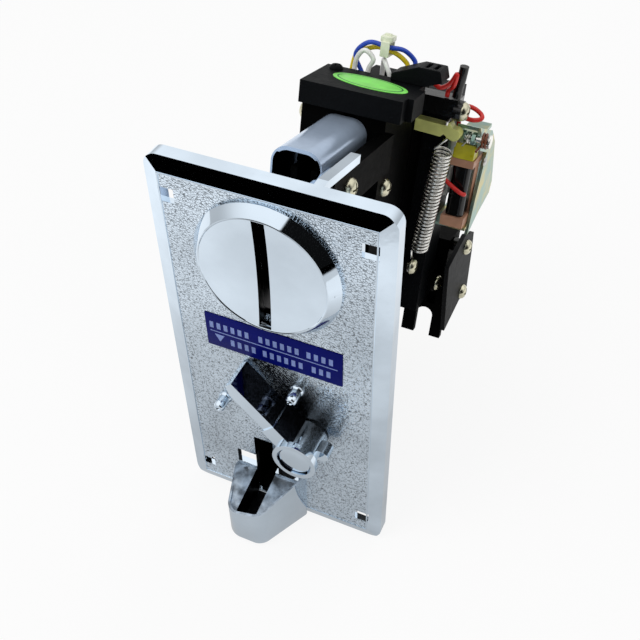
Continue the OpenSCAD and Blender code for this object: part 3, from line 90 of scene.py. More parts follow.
def addCamera(view):
    bpy.ops.object.camera_add()
    camera = bpy.context.object
    right = Vector(view["right"]).normalized()
    up = Vector(view["up"])
    up = (up - up.dot(right) * right).normalized()
    back = right.cross(up)
    rows = [(right[i], up[i], back[i], view["place"][i]) for i in range(3)]
    camera.matrix_world = Matrix(rows + [(0, 0, 0, 1)])
    camera.data.lens = view["lens"]
    camera.data.sensor_width = view["sensor"]
    camera.data.clip_start = 0.01
    bpy.context.scene.camera = camera


def addNode(tree, kind, **settings):
    node = tree.nodes.new(kind)
    for key, value in settings.items():
        setattr(node, key, value)
    return node


def backgroundRays(tree):
    # 1 for rays that see the plain white background, and 1 for rays that leave a glossy face
    rays = addNode(tree, "ShaderNodeLightPath")
    first = addNode(tree, "ShaderNodeMath", operation="MAXIMUM")
    tree.links.new(rays.outputs["Is Camera Ray"], first.inputs[0])
    tree.links.new(rays.outputs["Is Transmission Ray"], first.inputs[1])
    return first.outputs[0], rays.outputs["Is Glossy Ray"]


def addRange(tree, source, start, end, low=0, high=1):
    spread = addNode(tree, "ShaderNodeMapRange", interpolation_type="SMOOTHSTEP")
    spread.inputs["From Min"].default_value = start
    spread.inputs["From Max"].default_value = end
    spread.inputs["To Min"].default_value = low
    spread.inputs["To Max"].default_value = high
    tree.links.new(source, spread.inputs["Value"])
    return spread.outputs[0]


def addProduct(tree, first, second):
    product = addNode(tree, "ShaderNodeMath", operation="MULTIPLY")
    for number, factor in enumerate((first, second)):
        if isinstance(factor, float):
            product.inputs[number].default_value = factor
        else:
            tree.links.new(factor, product.inputs[number])
    return product.outputs[0]


def addCloud(tree, place, scale, detail=2):
    cloud = addNode(tree, "ShaderNodeTexNoise")
    cloud.inputs["Scale"].default_value = scale
    cloud.inputs["Detail"].default_value = detail
    tree.links.new(place.outputs["Object"], cloud.inputs["Vector"])
    return cloud


def addTint(tree, share, shade, colour, blend="MIX"):
    tint = addNode(tree, "ShaderNodeMix", data_type="RGBA", blend_type=blend)
    tint.inputs["B"].default_value = (*colour, 1)
    tree.links.new(share, tint.inputs["Factor"])
    tree.links.new(shade, tint.inputs["A"])
    return tint.outputs["Result"]


def addMix(tree, share, first, second):
    mix = addNode(tree, "ShaderNodeMixShader")
    tree.links.new(share, mix.inputs[0])
    tree.links.new(first, mix.inputs[1])
    tree.links.new(second, mix.inputs[2])
    return mix.outputs[0]


def addSky(settings):
    world = bpy.data.worlds.new("studioSky")
    bpy.context.scene.world = world
    world.use_nodes = True
    tree = world.node_tree
    link = tree.links.new
    tree.nodes.clear()
    out = addNode(tree, "ShaderNodeOutputWorld")
    place = addNode(tree, "ShaderNodeTexCoord")
    split = addNode(tree, "ShaderNodeSeparateXYZ")
    link(place.outputs["Generated"], split.inputs[0])
    ramp = addNode(tree, "ShaderNodeValToRGB")
    link(addRange(tree, split.outputs["Z"], -1, 1), ramp.inputs[0])
    low, side, top = settings["skyLow"], settings["skySide"], settings["skyTop"]
    ramp.color_ramp.elements[0].position = 0.3
    ramp.color_ramp.elements[0].color = (low, low, low, 1)
    ramp.color_ramp.elements[1].position = 0.85
    ramp.color_ramp.elements[1].color = (top, top, top, 1)
    middle = ramp.color_ramp.elements.new(0.55)
    middle.color = (side, side, side, 1)
    sky = addNode(tree, "ShaderNodeBackground")
    link(ramp.outputs[0], sky.inputs["Color"])
    plain = addNode(tree, "ShaderNodeBackground")
    plain.inputs["Color"].default_value = (1, 1, 1, 1)

    # what chrome sees: the white sweep, and a dark room low in front of it
    forward = addRange(tree, split.outputs["Y"], *settings["roomSide"], 1, 0)
    leant = addNode(tree, "ShaderNodeMath", operation="MULTIPLY_ADD")
    leant.inputs[1].default_value = settings["roomLean"]
    link(split.outputs["X"], leant.inputs[0])
    link(split.outputs["Z"], leant.inputs[2])
    room = addProduct(tree, forward, addRange(tree, leant.outputs[0], *settings["roomTop"], 1, 0))
    dark = addNode(tree, "ShaderNodeBackground")
    dark.inputs["Strength"].default_value = settings["room"]
    sweep = addNode(tree, "ShaderNodeBackground")
    rise = addRange(tree, split.outputs["Z"], *settings["paperRise"], *settings["paper"])
    link(rise, sweep.inputs["Strength"])
    around = addMix(tree, room, sweep.outputs[0], dark.outputs[0])
    seen, glossy = backgroundRays(tree)
    lit = addMix(tree, glossy, sky.outputs[0], around)
    link(addMix(tree, seen, lit, plain.outputs[0]), out.inputs["Surface"])


def addFloor(settings):
    bpy.ops.mesh.primitive_plane_add(size=settings["floorSize"],
        location=(0, 0, settings["floorHeight"]))
    floor = bpy.context.object
    floor.name = "studioFloor"
    paper = bpy.data.materials.new("paper")
    paper.use_nodes = True
    tree = paper.node_tree
    link = tree.links.new
    tree.nodes.clear()
    out = addNode(tree, "ShaderNodeOutputMaterial")
    place = addNode(tree, "ShaderNodeTexCoord")
    split = addNode(tree, "ShaderNodeSeparateXYZ")
    link(place.outputs["Object"], split.inputs[0])
    matt = addNode(tree, "ShaderNodeBsdfDiffuse")
    matt.inputs["Color"].default_value = settings["floorColour"]
    glow = addNode(tree, "ShaderNodeEmission")
    glow.inputs["Color"].default_value = (1, 1, 1, 1)
    # what chrome sees: a painted shadow round the object, brightening away from it, duller on the front
    # sheet, dark in the room
    distance = addNode(tree, "ShaderNodeVectorMath", operation="LENGTH")
    link(place.outputs["Object"], distance.inputs[0])
    forward = split.outputs["Y"]
    shine = addRange(tree, distance.outputs["Value"], *settings["floorNear"], *settings["floorShine"])
    shine = addProduct(tree, shine, addRange(tree, forward, *settings["paperFront"]))
    shine = addProduct(tree, shine, addRange(tree, forward, *settings["floorStep"], settings["floorDull"]))
    sweep = addNode(tree, "ShaderNodeEmission")
    link(shine, sweep.inputs["Strength"])
    seen, glossy = backgroundRays(tree)
    share = addProduct(tree, seen, 1 - settings["shadowShare"])
    front = addRange(tree, forward, *settings["paperFront"], 1, settings["sweepShare"])
    lit = addMix(tree, addProduct(tree, glossy, front), matt.outputs[0], sweep.outputs[0])
    link(addMix(tree, share, lit, glow.outputs[0]), out.inputs["Surface"])
    floor.data.materials.append(paper)


def addLamps(panels):
    for name, panel in panels.items():
        bpy.ops.object.light_add(type="AREA", location=panel["place"])
        lamp = bpy.context.object
        lamp.name = name
        lamp.data.size = panel["size"]
        lamp.data.energy = panel["watts"]
        lamp.visible_glossy = False  # the chrome shows the white sweep and not the lamps
        way = Vector(panel["aim"]) - Vector(panel["place"])
        lamp.rotation_euler = way.to_track_quat("-Z", "Y").to_euler()


bpy.context.scene.view_settings.view_transform = "Standard"
addCamera(cameraView)
addSky(studio)
addFloor(studio)
addLamps(lamps)
print("camera, floor and light set")


# Finishes, each one a node material on Object coordinates

finishes = {
    "chrome_plate": {"colour": (0.70, 0.80, 0.90), "metal": 1,
        "rough": (0.03, 0.07), "bump": (160, 0.00004)},
    "chrome_bright": {"colour": (0.70, 0.80, 0.90), "metal": 1,
        "rough": (0.03, 0.08), "bump": (90, 0.00004)},
    "screw_steel": {"colour": (0.70, 0.67, 0.50), "metal": 1,
        "rough": (0.18, 0.34), "bump": (900, 0.00002)},
    "spring_steel": {"colour": (0.92, 0.91, 0.87), "metal": 1,
        "rough": (0.22, 0.32), "bump": (1200, 0.00002)},
    "black_moulded": {"colour": (0.0012, 0.0012, 0.0012), "rough": (0.42, 0.60), "bump": (1500, 0.00005),
        "shine": 0.022},
    "grey_moulded": {"colour": (0.004, 0.0046, 0.0054), "rough": (0.40, 0.58), "bump": (1300, 0.00008),
        "shine": 0.06},
    "black_gloss": {"colour": (0.004, 0.004, 0.004), "rough": (0.12, 0.22), "bump": (300, 0.00004)},
    "sticker_green": {"colour": (0.24, 0.84, 0.13), "rough": (0.30, 0.42), "bump": (500, 0.00003)},
    "nylon_natural": {"colour": (0.60, 0.62, 0.20), "rough": (0.28, 0.42), "bump": (700, 0.00004)},
    "copper_winding": {"colour": (0.17, 0.055, 0.025), "rough": (0.18, 0.32), "bump": (2200, 0.00008)},
    "coin_brass": {"colour": (0.66, 0.50, 0.22), "metal": 1, "rough": (0.22, 0.40), "bump": (600, 0.00003)},
    "board_green": {"colour": (0.012, 0.12, 0.04), "rough": (0.20, 0.34), "bump": (1400, 0.00004)},
    "zinc_yellow": {"colour": (0.30, 0.45, 0.39), "second": (0.60, 0.52, 0.22), "metal": 1,
        "rough": (0.24, 0.42), "bump": (500, 0.00003)},
    "bobbin_cream": {"colour": (0.46, 0.24, 0.15), "rough": (0.35, 0.50), "bump": (800, 0.00005)},
    "tape_yellow": {"colour": (0.55, 0.50, 0.015), "rough": (0.22, 0.38), "bump": (900, 0.00005)},
    "soft_iron": {"colour": (0.58, 0.57, 0.55), "metal": 1, "rough": (0.26, 0.42), "bump": (900, 0.00003)},
    "gate_white": {"colour": (0.80, 0.80, 0.76), "rough": (0.30, 0.45), "bump": (700, 0.00004)},
    "tie_natural": {"colour": (0.80, 0.84, 0.66), "rough": (0.25, 0.40), "bump": (900, 0.00003)},
    "label_blue": {"colour": (0.001, 0.004, 0.13), "rough": (0.30, 0.42), "bump": (400, 0.00003),
        "shine": 0.06},
    "wire_white": {"colour": (0.86, 0.86, 0.84), "rough": (0.25, 0.38), "bump": (1500, 0.00003)},
    "wire_black": {"colour": (0.004, 0.004, 0.004), "rough": (0.12, 0.24), "bump": (600, 0.00005)},
    "ring_dark": {"colour": (0.02, 0.16, 0.04), "rough": (0.35, 0.45), "bump": (900, 0.00002),
        "slot": "sticker_green"},
    "hood_satin": {"colour": (0.54, 0.66, 0.84), "metal": 0.5, "rough": (0.20, 0.22),
        "bump": (1500, 0.000005), "spread": 0.25,
        "slot": "chrome_bright"},
    # painted shade: a dark copy of the chrome for the lever's upper flank, which still mirrors the label
    "chrome_shaded": {"colour": (0.10, 0.11, 0.14), "metal": 1, "rough": (0.05, 0.09),
        "bump": (90, 0.00004), "slot": "chrome_bright"},
    # painted reflection: a darker, part-matt, blotchy copy of the chrome for the cup's shoulders, standing
    # in for the light and dark they mirror
    "chrome_dull": {"colour": (0.33, 0.39, 0.46), "metal": 0.7, "rough": (0.14, 0.24),
        "bump": (900, 0.00005), "spread": 5, "slot": "chrome_bright"},
    # painted shade: near-black chrome for the deep slot walls, the cup's groove and the inside of the
    # hood's mouth
    "slot_dark": {"colour": (0.02, 0.02, 0.022), "metal": 1, "rough": (0.25, 0.4), "bump": (900, 0.00004),
        "slot": "chrome_bright"},
    "print_white": {"colour": (0.19, 0.26, 0.56), "rough": (0.35, 0.45), "bump": (900, 0.00002),
        "slot": "label_blue"},
}
for wireName, colour in {"red": (0.62, 0.02, 0.015), "blue": (0.02, 0.07, 0.50),
        "yellow": (0.85, 0.66, 0.02)}.items():
    finishes["wire_" + wireName] = {"colour": colour, "rough": (0.22, 0.36), "bump": (1500, 0.00003)}
cloudShare = 0.35  # size of the soft patches of shade against the fine bumps
zincPatch = {"cell": 150, "range": (0.40, 0.74)}
grain = {
    "cell": 1450,  # cells in a metre
    "cloud": 0.8,
    "push": 0.7,  # how far the cells are pushed about, in cells
    "depth": 0.000032,
    "crown": 0.20,  # share of a cell that its sloping edge takes
    "crease": 0.22,  # shade of the deepest creases
    "dirt": (0.02, 0.14),
    "patch": (0.42, 0.58),
    "shadePlace": (0.0062, -0.0053, -0.0125),  # painted reflection: next to the lever the field is painted dark, standing in for the lever's dark side that it mirrors
    "shadeReach": (0.0055, 0.018),
    "shadeLow": 0.07,
    "rough": 0.06,
    "halfWidth": 0.0279,
    "halfHeight": 0.0591,
    "front": -0.00515,
    "back": -0.0056,
}
madeFinishes = {}


def makeFinish(name):
    if name in madeFinishes:
        return madeFinishes[name]
    look = finishes[name]
    material = bpy.data.materials.new(name)
    material.use_nodes = True
    tree = material.node_tree
    link = tree.links.new
    shader = tree.nodes["Principled BSDF"]
    place = addNode(tree, "ShaderNodeTexCoord")
    cloud = addCloud(tree, place, look["bump"][0] * cloudShare, 4)

    colour = look["colour"]
    tint = addNode(tree, "ShaderNodeValToRGB")  # small changes of shade over the surface
    tint.color_ramp.elements[0].position = 0.35
    tint.color_ramp.elements[1].position = 0.65
    spread = look.get("spread", 1)
    for element, change in zip(tint.color_ramp.elements, (-0.12, 0.08)):
        element.color = [min(1, channel * (1 + change * spread)) for channel in colour] + [1]
    link(cloud.outputs["Fac"], tint.inputs[0])
    shade = tint.outputs[0]
    if "second" in look:
        shade = addPatches(tree, place, shade, look["second"])

    rough = addNode(tree, "ShaderNodeMapRange")
    rough.inputs["To Min"].default_value = look["rough"][0]
    rough.inputs["To Max"].default_value = look["rough"][1]
    link(cloud.outputs["Fac"], rough.inputs["Value"])
    dull = rough.outputs[0]
    shader.inputs["Metallic"].default_value = look.get("metal", 0)
    shader.inputs["Specular IOR Level"].default_value = look.get("shine", 0.5)

    fine = addCloud(tree, place, look["bump"][0], 3)
    bump = addNode(tree, "ShaderNodeBump")
    bump.inputs["Distance"].default_value = look["bump"][1]
    link(fine.outputs["Fac"], bump.inputs["Height"])
    if name == "chrome_plate":
        shade, dull = addGrainAndPaintedShade(tree, place, bump, shade, dull)
    link(shade, shader.inputs["Base Color"])
    link(dull, shader.inputs["Roughness"])
    link(bump.outputs[0], shader.inputs["Normal"])
    madeFinishes[name] = material
    return material


def addPatches(tree, place, shade, second):
    # passivated zinc changes colour in large soft patches
    patches = addCloud(tree, place, zincPatch["cell"])
    return addTint(tree, addRange(tree, patches.outputs["Fac"], *zincPatch["range"]), shade, second)


def addGrainAndPaintedShade(tree, place, bump, shade, dull):
    # leather grain, only on the sunk field of the plate, with a painted dark reflection of the lever next
    # to it
    link = tree.links.new
    split = addNode(tree, "ShaderNodeSeparateXYZ")
    link(place.outputs["Object"], split.inputs[0])
    tests = []
    for axis, limit in (("X", grain["halfWidth"]), ("Z", grain["halfHeight"])):
        size = addNode(tree, "ShaderNodeMath", operation="ABSOLUTE")
        inside = addNode(tree, "ShaderNodeMath", operation="LESS_THAN")
        inside.inputs[1].default_value = limit
        link(split.outputs[axis], size.inputs[0])
        link(size.outputs[0], inside.inputs[0])
        tests.append(inside)
    for limit, kind in ((grain["front"], "LESS_THAN"), (grain["back"], "GREATER_THAN")):
        inside = addNode(tree, "ShaderNodeMath", operation=kind)
        inside.inputs[1].default_value = limit
        link(split.outputs["Y"], inside.inputs[0])
        tests.append(inside)
    share = tests[0].outputs[0]
    for test in tests[1:]:
        share = addProduct(tree, share, test.outputs[0])

    # uneven cells: the place is pushed about a little by a cloud
    cloud = addCloud(tree, place, grain["cell"] * grain["cloud"])
    push = addNode(tree, "ShaderNodeVectorMath", operation="SCALE")
    push.inputs["Scale"].default_value = grain["push"] / grain["cell"]
    link(cloud.outputs["Color"], push.inputs[0])
    moved = addNode(tree, "ShaderNodeVectorMath", operation="ADD")
    link(place.outputs["Object"], moved.inputs[0])
    link(push.outputs[0], moved.inputs[1])
    cells = addNode(tree, "ShaderNodeTexVoronoi", feature="DISTANCE_TO_EDGE")
    cells.inputs["Scale"].default_value = grain["cell"]
    link(moved.outputs[0], cells.inputs["Vector"])

    height = addProduct(tree, addRange(tree, cells.outputs["Distance"], 0, grain["crown"]), share)
    leather = addNode(tree, "ShaderNodeBump")
    leather.inputs["Distance"].default_value = grain["depth"]
    link(height, leather.inputs["Height"])
    link(leather.outputs[0], bump.inputs["Normal"])

    # here and there the creases are darker
    dirt = addRange(tree, cells.outputs["Distance"], *grain["dirt"], 1, 0)
    dirt = addProduct(tree, dirt, addRange(tree, cloud.outputs["Fac"], *grain["patch"]))
    shade = addTint(tree, addProduct(tree, dirt, share), shade, [grain["crease"]] * 3, "MULTIPLY")
    matt = addNode(tree, "ShaderNodeMath", operation="MULTIPLY_ADD")
    matt.inputs[1].default_value = grain["rough"]
    link(share, matt.inputs[0])
    link(dull, matt.inputs[2])

    # painted reflection: the field is painted darker towards a place next to the lever, standing in for the
    # lever's dark side that it mirrors
    away = addNode(tree, "ShaderNodeVectorMath", operation="DISTANCE")
    away.inputs[1].default_value = grain["shadePlace"]
    link(place.outputs["Object"], away.inputs[0])
    paintedReflection = addRange(tree, away.outputs["Value"], *grain["shadeReach"], 1 - grain["shadeLow"], 0)
    return addTint(tree, addProduct(tree, paintedReflection, share), shade, (0, 0, 0)), matt.outputs[0]


for nodeName, piece in frame["nodes"].items():
    piece.data.materials.clear()
    piece.data.materials.append(makeFinish(slotOf[nodeName]))
print("finishes on every node")


# Shaping helpers

def deselectAll():
    bpy.ops.object.select_all(action="DESELECT")


def selectOnly(piece):
    deselectAll()
    piece.select_set(True)
    bpy.context.view_layer.objects.active = piece


def applyModifier(piece, kind, **settings):
    selectOnly(piece)
    modifier = piece.modifiers.new(kind.lower(), kind)
    for key, value in settings.items():
        setattr(modifier, key, value)
    bpy.ops.object.modifier_apply(modifier=modifier.name)


def bevelEdges(piece, width, segments=2, degrees=40, **settings):
    applyModifier(piece, "BEVEL", width=width * mm, segments=segments, limit_method="ANGLE",
        angle_limit=math.radians(degrees), **settings)


def startEdit(piece):
    selectOnly(piece)
    bpy.ops.object.mode_set(mode="EDIT")
    bpy.ops.mesh.select_all(action="SELECT")


def endEdit(turnOut=False):
    if turnOut:
        bpy.ops.mesh.normals_make_consistent(inside=False)
    bpy.ops.object.mode_set(mode="OBJECT")


def smoothByAngle(piece, degrees=32):
    selectOnly(piece)
    bpy.ops.object.shade_smooth_by_angle(angle=math.radians(degrees))


def flattenFaces(piece, degrees=36):
    # rounded edges, while the large faces between them stay flat
    smoothByAngle(piece, degrees)
    applyModifier(piece, "WEIGHTED_NORMAL", mode="FACE_AREA", weight=50, keep_sharp=True)


def settle(piece, leaned=False):
    # puts the piece's place into its mesh, turned with the selector where it belongs to that
    selectOnly(piece)
    if leaned:
        piece.matrix_world = Matrix.Rotation(leanAngle, 4, "X") @ piece.matrix_world
    bpy.ops.object.transform_apply(location=True, rotation=True, scale=True)


def finishPiece(piece, finish, body, *nodes):
    piece.data.materials.clear()
    piece.data.materials.append(makeFinish(finish))
    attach(piece, body)
    if nodes:
        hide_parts(*nodes)


def paintShadeOnFaces(piece, getsPaintedShade, finish="slot_dark"):
    # painted shade: the picked faces get a second, darker finish, by default near-black chrome for deep
    # places where little light comes
    piece.data.materials.append(makeFinish(finish))
    last = len(piece.data.materials) - 1
    for face in piece.data.polygons:
        if getsPaintedShade(face):
            face.material_index = last


def joinPieces(pieces, name):
    deselectAll()
    for piece in pieces:
        piece.select_set(True)
    bpy.context.view_layer.objects.active = pieces[0]
    bpy.ops.object.join()
    pieces[0].name = name
    return pieces[0]


def copyPiece(model, name):
    piece = bpy.data.objects.new(name, model.data.copy())
    bpy.context.scene.collection.objects.link(piece)
    return piece


def turnedShape(name, profile, steps=48):
    # a (radius, height) profile in mm, turned round Z
    deselectAll()
    bpy.ops.mesh.primitive_plane_add(size=mm)
    piece = bpy.context.object
    piece.name = name
    startEdit(piece)
    bpy.ops.mesh.merge(type="CENTER")
    bpy.ops.transform.translate(value=(profile[0][0] * mm, 0, profile[0][1] * mm))
    for before, after in zip(profile, profile[1:]):
        step = ((after[0] - before[0]) * mm, 0, (after[1] - before[1]) * mm)
        bpy.ops.mesh.extrude_vertices_move(TRANSFORM_OT_translate={"value": step})
    bpy.ops.mesh.select_all(action="SELECT")
    bpy.ops.mesh.spin(steps=steps, angle=2 * math.pi, center=(0, 0, 0), axis=(0, 0, 1))
    bpy.ops.mesh.select_all(action="SELECT")
    bpy.ops.mesh.remove_doubles(threshold=0.01 * mm)
    endEdit(True)
    return piece


def boxShape(name, low, high, edge=0.3, segments=3):
    # a box between two corners in mm, with rounded edges
    size = [(b - a) * mm for a, b in zip(low, high)]
    centre = [(a + b) / 2 * mm for a, b in zip(low, high)]
    deselectAll()
    bpy.ops.mesh.primitive_cube_add(size=1, location=centre)
    piece = bpy.context.object
    piece.name = name
    piece.scale = size
    settle(piece)
    if edge:
        bevelEdges(piece, edge, segments, 30)
    return piece


def cutAway(piece, tool):
    applyModifier(piece, "BOOLEAN", operation="DIFFERENCE", solver="EXACT", object=tool)
    bpy.data.objects.remove(tool)


def pointTo(piece, place, way):
    # stands a piece made round Z at a place in mm, with its Z along way
    turn = Vector(way).to_track_quat("Z", "Y").to_matrix().to_4x4()
    piece.matrix_world = Matrix.Translation(Vector(place) * mm) @ turn


def smoothRoute(points, steps=8):
    points = [Vector(p) for p in points]
    route = []
    for i in range(len(points) - 1):
        a, b, c, d = points[max(i - 1, 0)], points[i], points[i + 1], points[min(i + 2, len(points) - 1)]
        for s in range(steps):
            t = s / steps
            bend = (2 * a - 5 * b + 4 * c - d) * t ** 2 + (3 * b - a - 3 * c + d) * t ** 3
            route.append(0.5 * (2 * b + (c - a) * t + bend))
    return route + [points[-1]]


def bentWire(name, route, radius, leaned=True, sides=3):
    # a round wire along a route in mm, closed at both ends
    curve = bpy.data.curves.new(name, "CURVE")
    curve.dimensions = "3D"
    curve.bevel_depth = radius * mm
    curve.bevel_resolution = sides
    curve.use_fill_caps = True
    line = curve.splines.new("POLY")
    line.points.add(len(route) - 1)
    for point, place in zip(line.points, route):
        point.co = (place[0] * mm, place[1] * mm, place[2] * mm, 1)
    piece = bpy.data.objects.new(name, curve)
    bpy.context.scene.collection.objects.link(piece)
    selectOnly(piece)
    bpy.ops.object.convert(target="MESH")
    piece = bpy.context.object
    startEdit(piece)
    bpy.ops.mesh.remove_doubles(threshold=0.002 * mm)
    endEdit(True)
    settle(piece, leaned)
    smoothByAngle(piece, 50)
    return piece


# Moulded, pressed and cast pieces: the node's own shape with its edges rounded as the real ones are

facing = 0.9  # how squarely a face looks along a way to be counted as on that side
slotHalf = 2.5
pivot = {
    "place": (10.3, 0, -19.8),
    "ring": (5.15, -17.5, -15.1),
    "flank": (0.61, 0, 0.79),  # the way the lever's upper side looks
    "shaft": [(0, 16.35), (4.2, 16.4), (4.62, 16.3), (4.8, 16.0), (4.8, 15.2), (2.5, 15.2),
        (2.5, -10), (1.95, -10), (1.95, -10.7), (2.5, -10.7), (2.5, -11.8), (2.3, -12), (0, -12)],
}
hoodMouth = {"low": (-7.8, -1, 25), "high": (5.1, 14, 61.3), "round": 4.1, "middle": (-1.35, 50)}
roundedNodes = {
    "front_plate": ("plateCasting", 0.45),
    "reject_lever": ("leverCasting", 0.45),
    "inlet_hood": ("chromeHood", 0.18),
    "inlet_guide": ("inletGuide", 0.2),
    "body_left": ("bodyHalfLeft", 0.35),
    "body_right": ("bodyHalfRight", 0.35),
    "left_cover": ("sideCover", 0.25),
    "top_cap": ("topCap", 0.6),
    "connector_box": ("connectorBox", 0.3),
    "rear_case": ("rearCase", 0.4),
    "circuit_board": ("circuitBoard", 0.08),
    "side_lug": ("sideLug", 0.3),
    "leg_frame": ("legFrame", 0.25),
    "gate_block": ("gateBlock", 0.35),
    "rear_plate": ("rearPlate", 0.15),
    "rear_spacers": ("rearSpacers", 0.15),
    "return_chute": ("returnChute", 0.15),
    "release_flap": ("releaseFlap", 0.2),
    "tension_arm": ("tensionArm", 0.35),
    "lever_crank": ("leverCrank", 0.2),
    "crank_pin": ("crankPin", 0.2),
    "lever_clip": ("leverClip", 0.08),
    "solenoid_bracket": ("solenoidBracket", 0.18),
    "solenoid_bobbin": ("solenoidBobbin", 0.2),
    "solenoid_coil": ("solenoidCoil", 0.3),
    "solenoid_core": ("solenoidCore", 0.15),
    "coil_tape": ("coilTape", 0.3),
    "armature": ("armaturePlate", 0.12),
    "armature_pin": ("armaturePin", 0.15),
    "accept_gate": ("acceptGate", 0.15),
    "inner_coil": ("innerCoil", 0.15),
    "outer_coil": ("outerCoil", 0.15),
    "right_coil": ("rightCoil", 0.15),
    "sample_coin": ("sampleCoin", 0.15),
    "flap_pin": ("flapPin", 0.1),
}


def ringTool(shape):
    radius, front, back = shape["ring"]
    tool = turnedShape("ringTool", [(0, -back), (radius, -back), (radius, -front), (0, -front)], 96)
    pointTo(tool, shape["place"], (0, -1, 0))
    settle(tool)
    return tool


def thinMouth(piece, shape):
    tool = boxShape("mouthTool", shape["low"], shape["high"], 0)
    selectOnly(tool)
    bpy.ops.object.mode_set(mode="EDIT")
    bpy.ops.mesh.select_all(action="DESELECT")
    bpy.ops.object.mode_set(mode="OBJECT")
    for line in tool.data.edges:
        ends = [tool.data.vertices[i].co for i in line.vertices]
        line.select = abs(ends[0].y - ends[1].y) > mm and min(end.z for end in ends) > 50 * mm
    bpy.ops.object.mode_set(mode="EDIT")
    bpy.ops.mesh.bevel(offset=shape["round"] * mm, segments=12, affect="EDGES")
    bpy.ops.object.mode_set(mode="OBJECT")
    settle(tool, True)
    cutAway(piece, tool)


def roundNode(nodeName, pieceName, edge):
    source = frame["nodes"][nodeName]
    mesh = source.data.copy()
    mesh.name = pieceName
    piece = bpy.data.objects.new(pieceName, mesh)
    bpy.context.scene.collection.objects.link(piece)
    startEdit(piece)
    bpy.ops.mesh.remove_doubles(threshold=0.001 * mm)
    if nodeName != "front_plate":  # one face over its whole back would close the bolt holes
        bpy.ops.mesh.dissolve_limited(angle_limit=math.radians(1))
    endEdit()
    if nodeName == "reject_lever":
        cutAway(piece, ringTool(pivot))
    if nodeName == "inlet_hood":
        thinMouth(piece, hoodMouth)
    limit = 12 if nodeName == "front_plate" else 38
    bevelEdges(piece, edge, 3, limit, miter_outer="MITER_ARC", use_clamp_overlap=True)
    flattenFaces(piece)
    finish = "hood_satin" if nodeName == "inlet_hood" else slotOf[nodeName]
    finishPiece(piece, finish, bodyOf[nodeName], nodeName)
    if nodeName == "inlet_hood":
        lean = Matrix.Rotation(leanAngle, 3, "X")
        middle = lean @ Vector((hoodMouth["middle"][0], 0, hoodMouth["middle"][1])) * mm
        way = lean @ Vector((0, 1, 0))
        # painted shade on the inner walls of the hood's mouth
        paintShadeOnFaces(piece, lambda face: abs(face.normal.dot(way)) < 0.5
            and face.normal.dot(face.center - middle) < 0)
    if nodeName == "front_plate":
        # painted shade on the walls of the plate's coin slot
        paintShadeOnFaces(piece, lambda face: abs(face.normal.x) > facing and abs(face.center.x) < slotHalf * mm)
    # painted shade on the lever's upper flank, in dark chrome
    if nodeName == "reject_lever":
        way = Vector(pivot["flank"])
        paintShadeOnFaces(piece, lambda face: face.normal.dot(way) > facing
            and face.center.x < pivot["place"][0] * mm, "chrome_shaded")
    return piece


for nodeName, (pieceName, edge) in roundedNodes.items():
    roundNode(nodeName, pieceName, edge)
print("rounded pieces made")


# Coin entry disc: a shallow polished dish with a thin rim

entryDisc = {
    "place": (0, fieldY, 38.5),
    "profile": [(0, 0), (20.1, 0), (20.1, 0.9), (17.95, 3.45), (17.75, 3.65), (17.5, 3.7), (17.3, 3.62)],
    "dishEdge": 17.2,
    "dishLow": 2.6,
    "dishHigh": 3.5,
    "rings": 12,
    "slot": (3.4, 33.4),
    "open": 17.1,  # half the height over which the slot breaks the dish
    "screwOut": 17.6,
    "screwBore": (1.25, 2.45),
    "edge": 0.12,
}


def boreTool(radius, depth):
    return turnedShape("boreTool", [(0, -1), (radius, -1), (radius, depth), (0, depth)], 24)


def makeDisc(shape):
    profile = list(shape["profile"])
    for ring in range(shape["rings"], -1, -1):
        share = ring / shape["rings"]
        rise = shape["dishHigh"] - shape["dishLow"]
        profile.append((shape["dishEdge"] * share, shape["dishLow"] + rise * share ** 2))
    disc = turnedShape("coinEntryDisc", profile, 128)
    width, height = shape["slot"]
    for high, low in ((height / 2, -1), (shape["open"], shape["dishLow"])):
        cutAway(disc, boxShape("slotTool", (-width / 2, -high, low), (width / 2, high, 6), 0))
    for side in (-1, 1):
        bore = boreTool(*shape["screwBore"])
        bore.location.x = side * shape["screwOut"] * mm
        settle(bore)
        cutAway(disc, bore)
    bevelEdges(disc, shape["edge"], 2, 50)
    pointTo(disc, shape["place"], (0, -1, 0))
    settle(disc)
    smoothByAngle(disc, 24)
    finishPiece(disc, "chrome_bright", bodyOf["coin_entry_disc"], "coin_entry_disc")
    # painted shade on the walls of the disc's coin slot
    paintShadeOnFaces(disc, lambda face: abs(face.normal.x) > facing
        and abs(face.center.x) < (width / 2 + 0.05) * mm)


makeDisc(entryDisc)


# Thin raised line round the grained field, and the two stop pins

fieldLine = {"outer": (28.4, 59.4), "inner": (28.0, 59.0), "back": -5.1, "front": -5.5, "edge": 0.1}
stopPins = {
    "places": [(-17, -17.3), (6.5, -3.5)],
    "profile": [(0, 4.55), (0.62, 4.55), (0.8, 4.85), (1.25, 4.8), (1.62, 4.35), (1.65, 0.9), (2.0, 0.5),
        (2.1, -0.2), (0, -0.2)],
}


def makeFieldLine(shape):
    x, z = shape["outer"]
    line = boxShape("fieldLine", (-x, shape["front"], -z), (x, shape["back"], z), 0)
    x, z = shape["inner"]
    cutAway(line, boxShape("fieldTool", (-x, shape["front"] - 1, -z), (x, shape["back"] + 1, z), 0))
    bevelEdges(line, shape["edge"])
    smoothByAngle(line)
    finishPiece(line, "chrome_bright", "housing")


def makePins(shape):
    model = turnedShape("stopPin", shape["profile"], 40)
    smoothByAngle(model, 40)
    for number, (x, z) in enumerate(shape["places"]):
        pin = copyPiece(model, "stopPin" + "LR"[number])
        pointTo(pin, (x, fieldY, z), (0, -1, 0))
        settle(pin)
        finishPiece(pin, "chrome_bright", "housing")
    bpy.data.objects.remove(model)


makeFieldLine(fieldLine)
makePins(stopPins)


# Label with plain blocks in place of its words

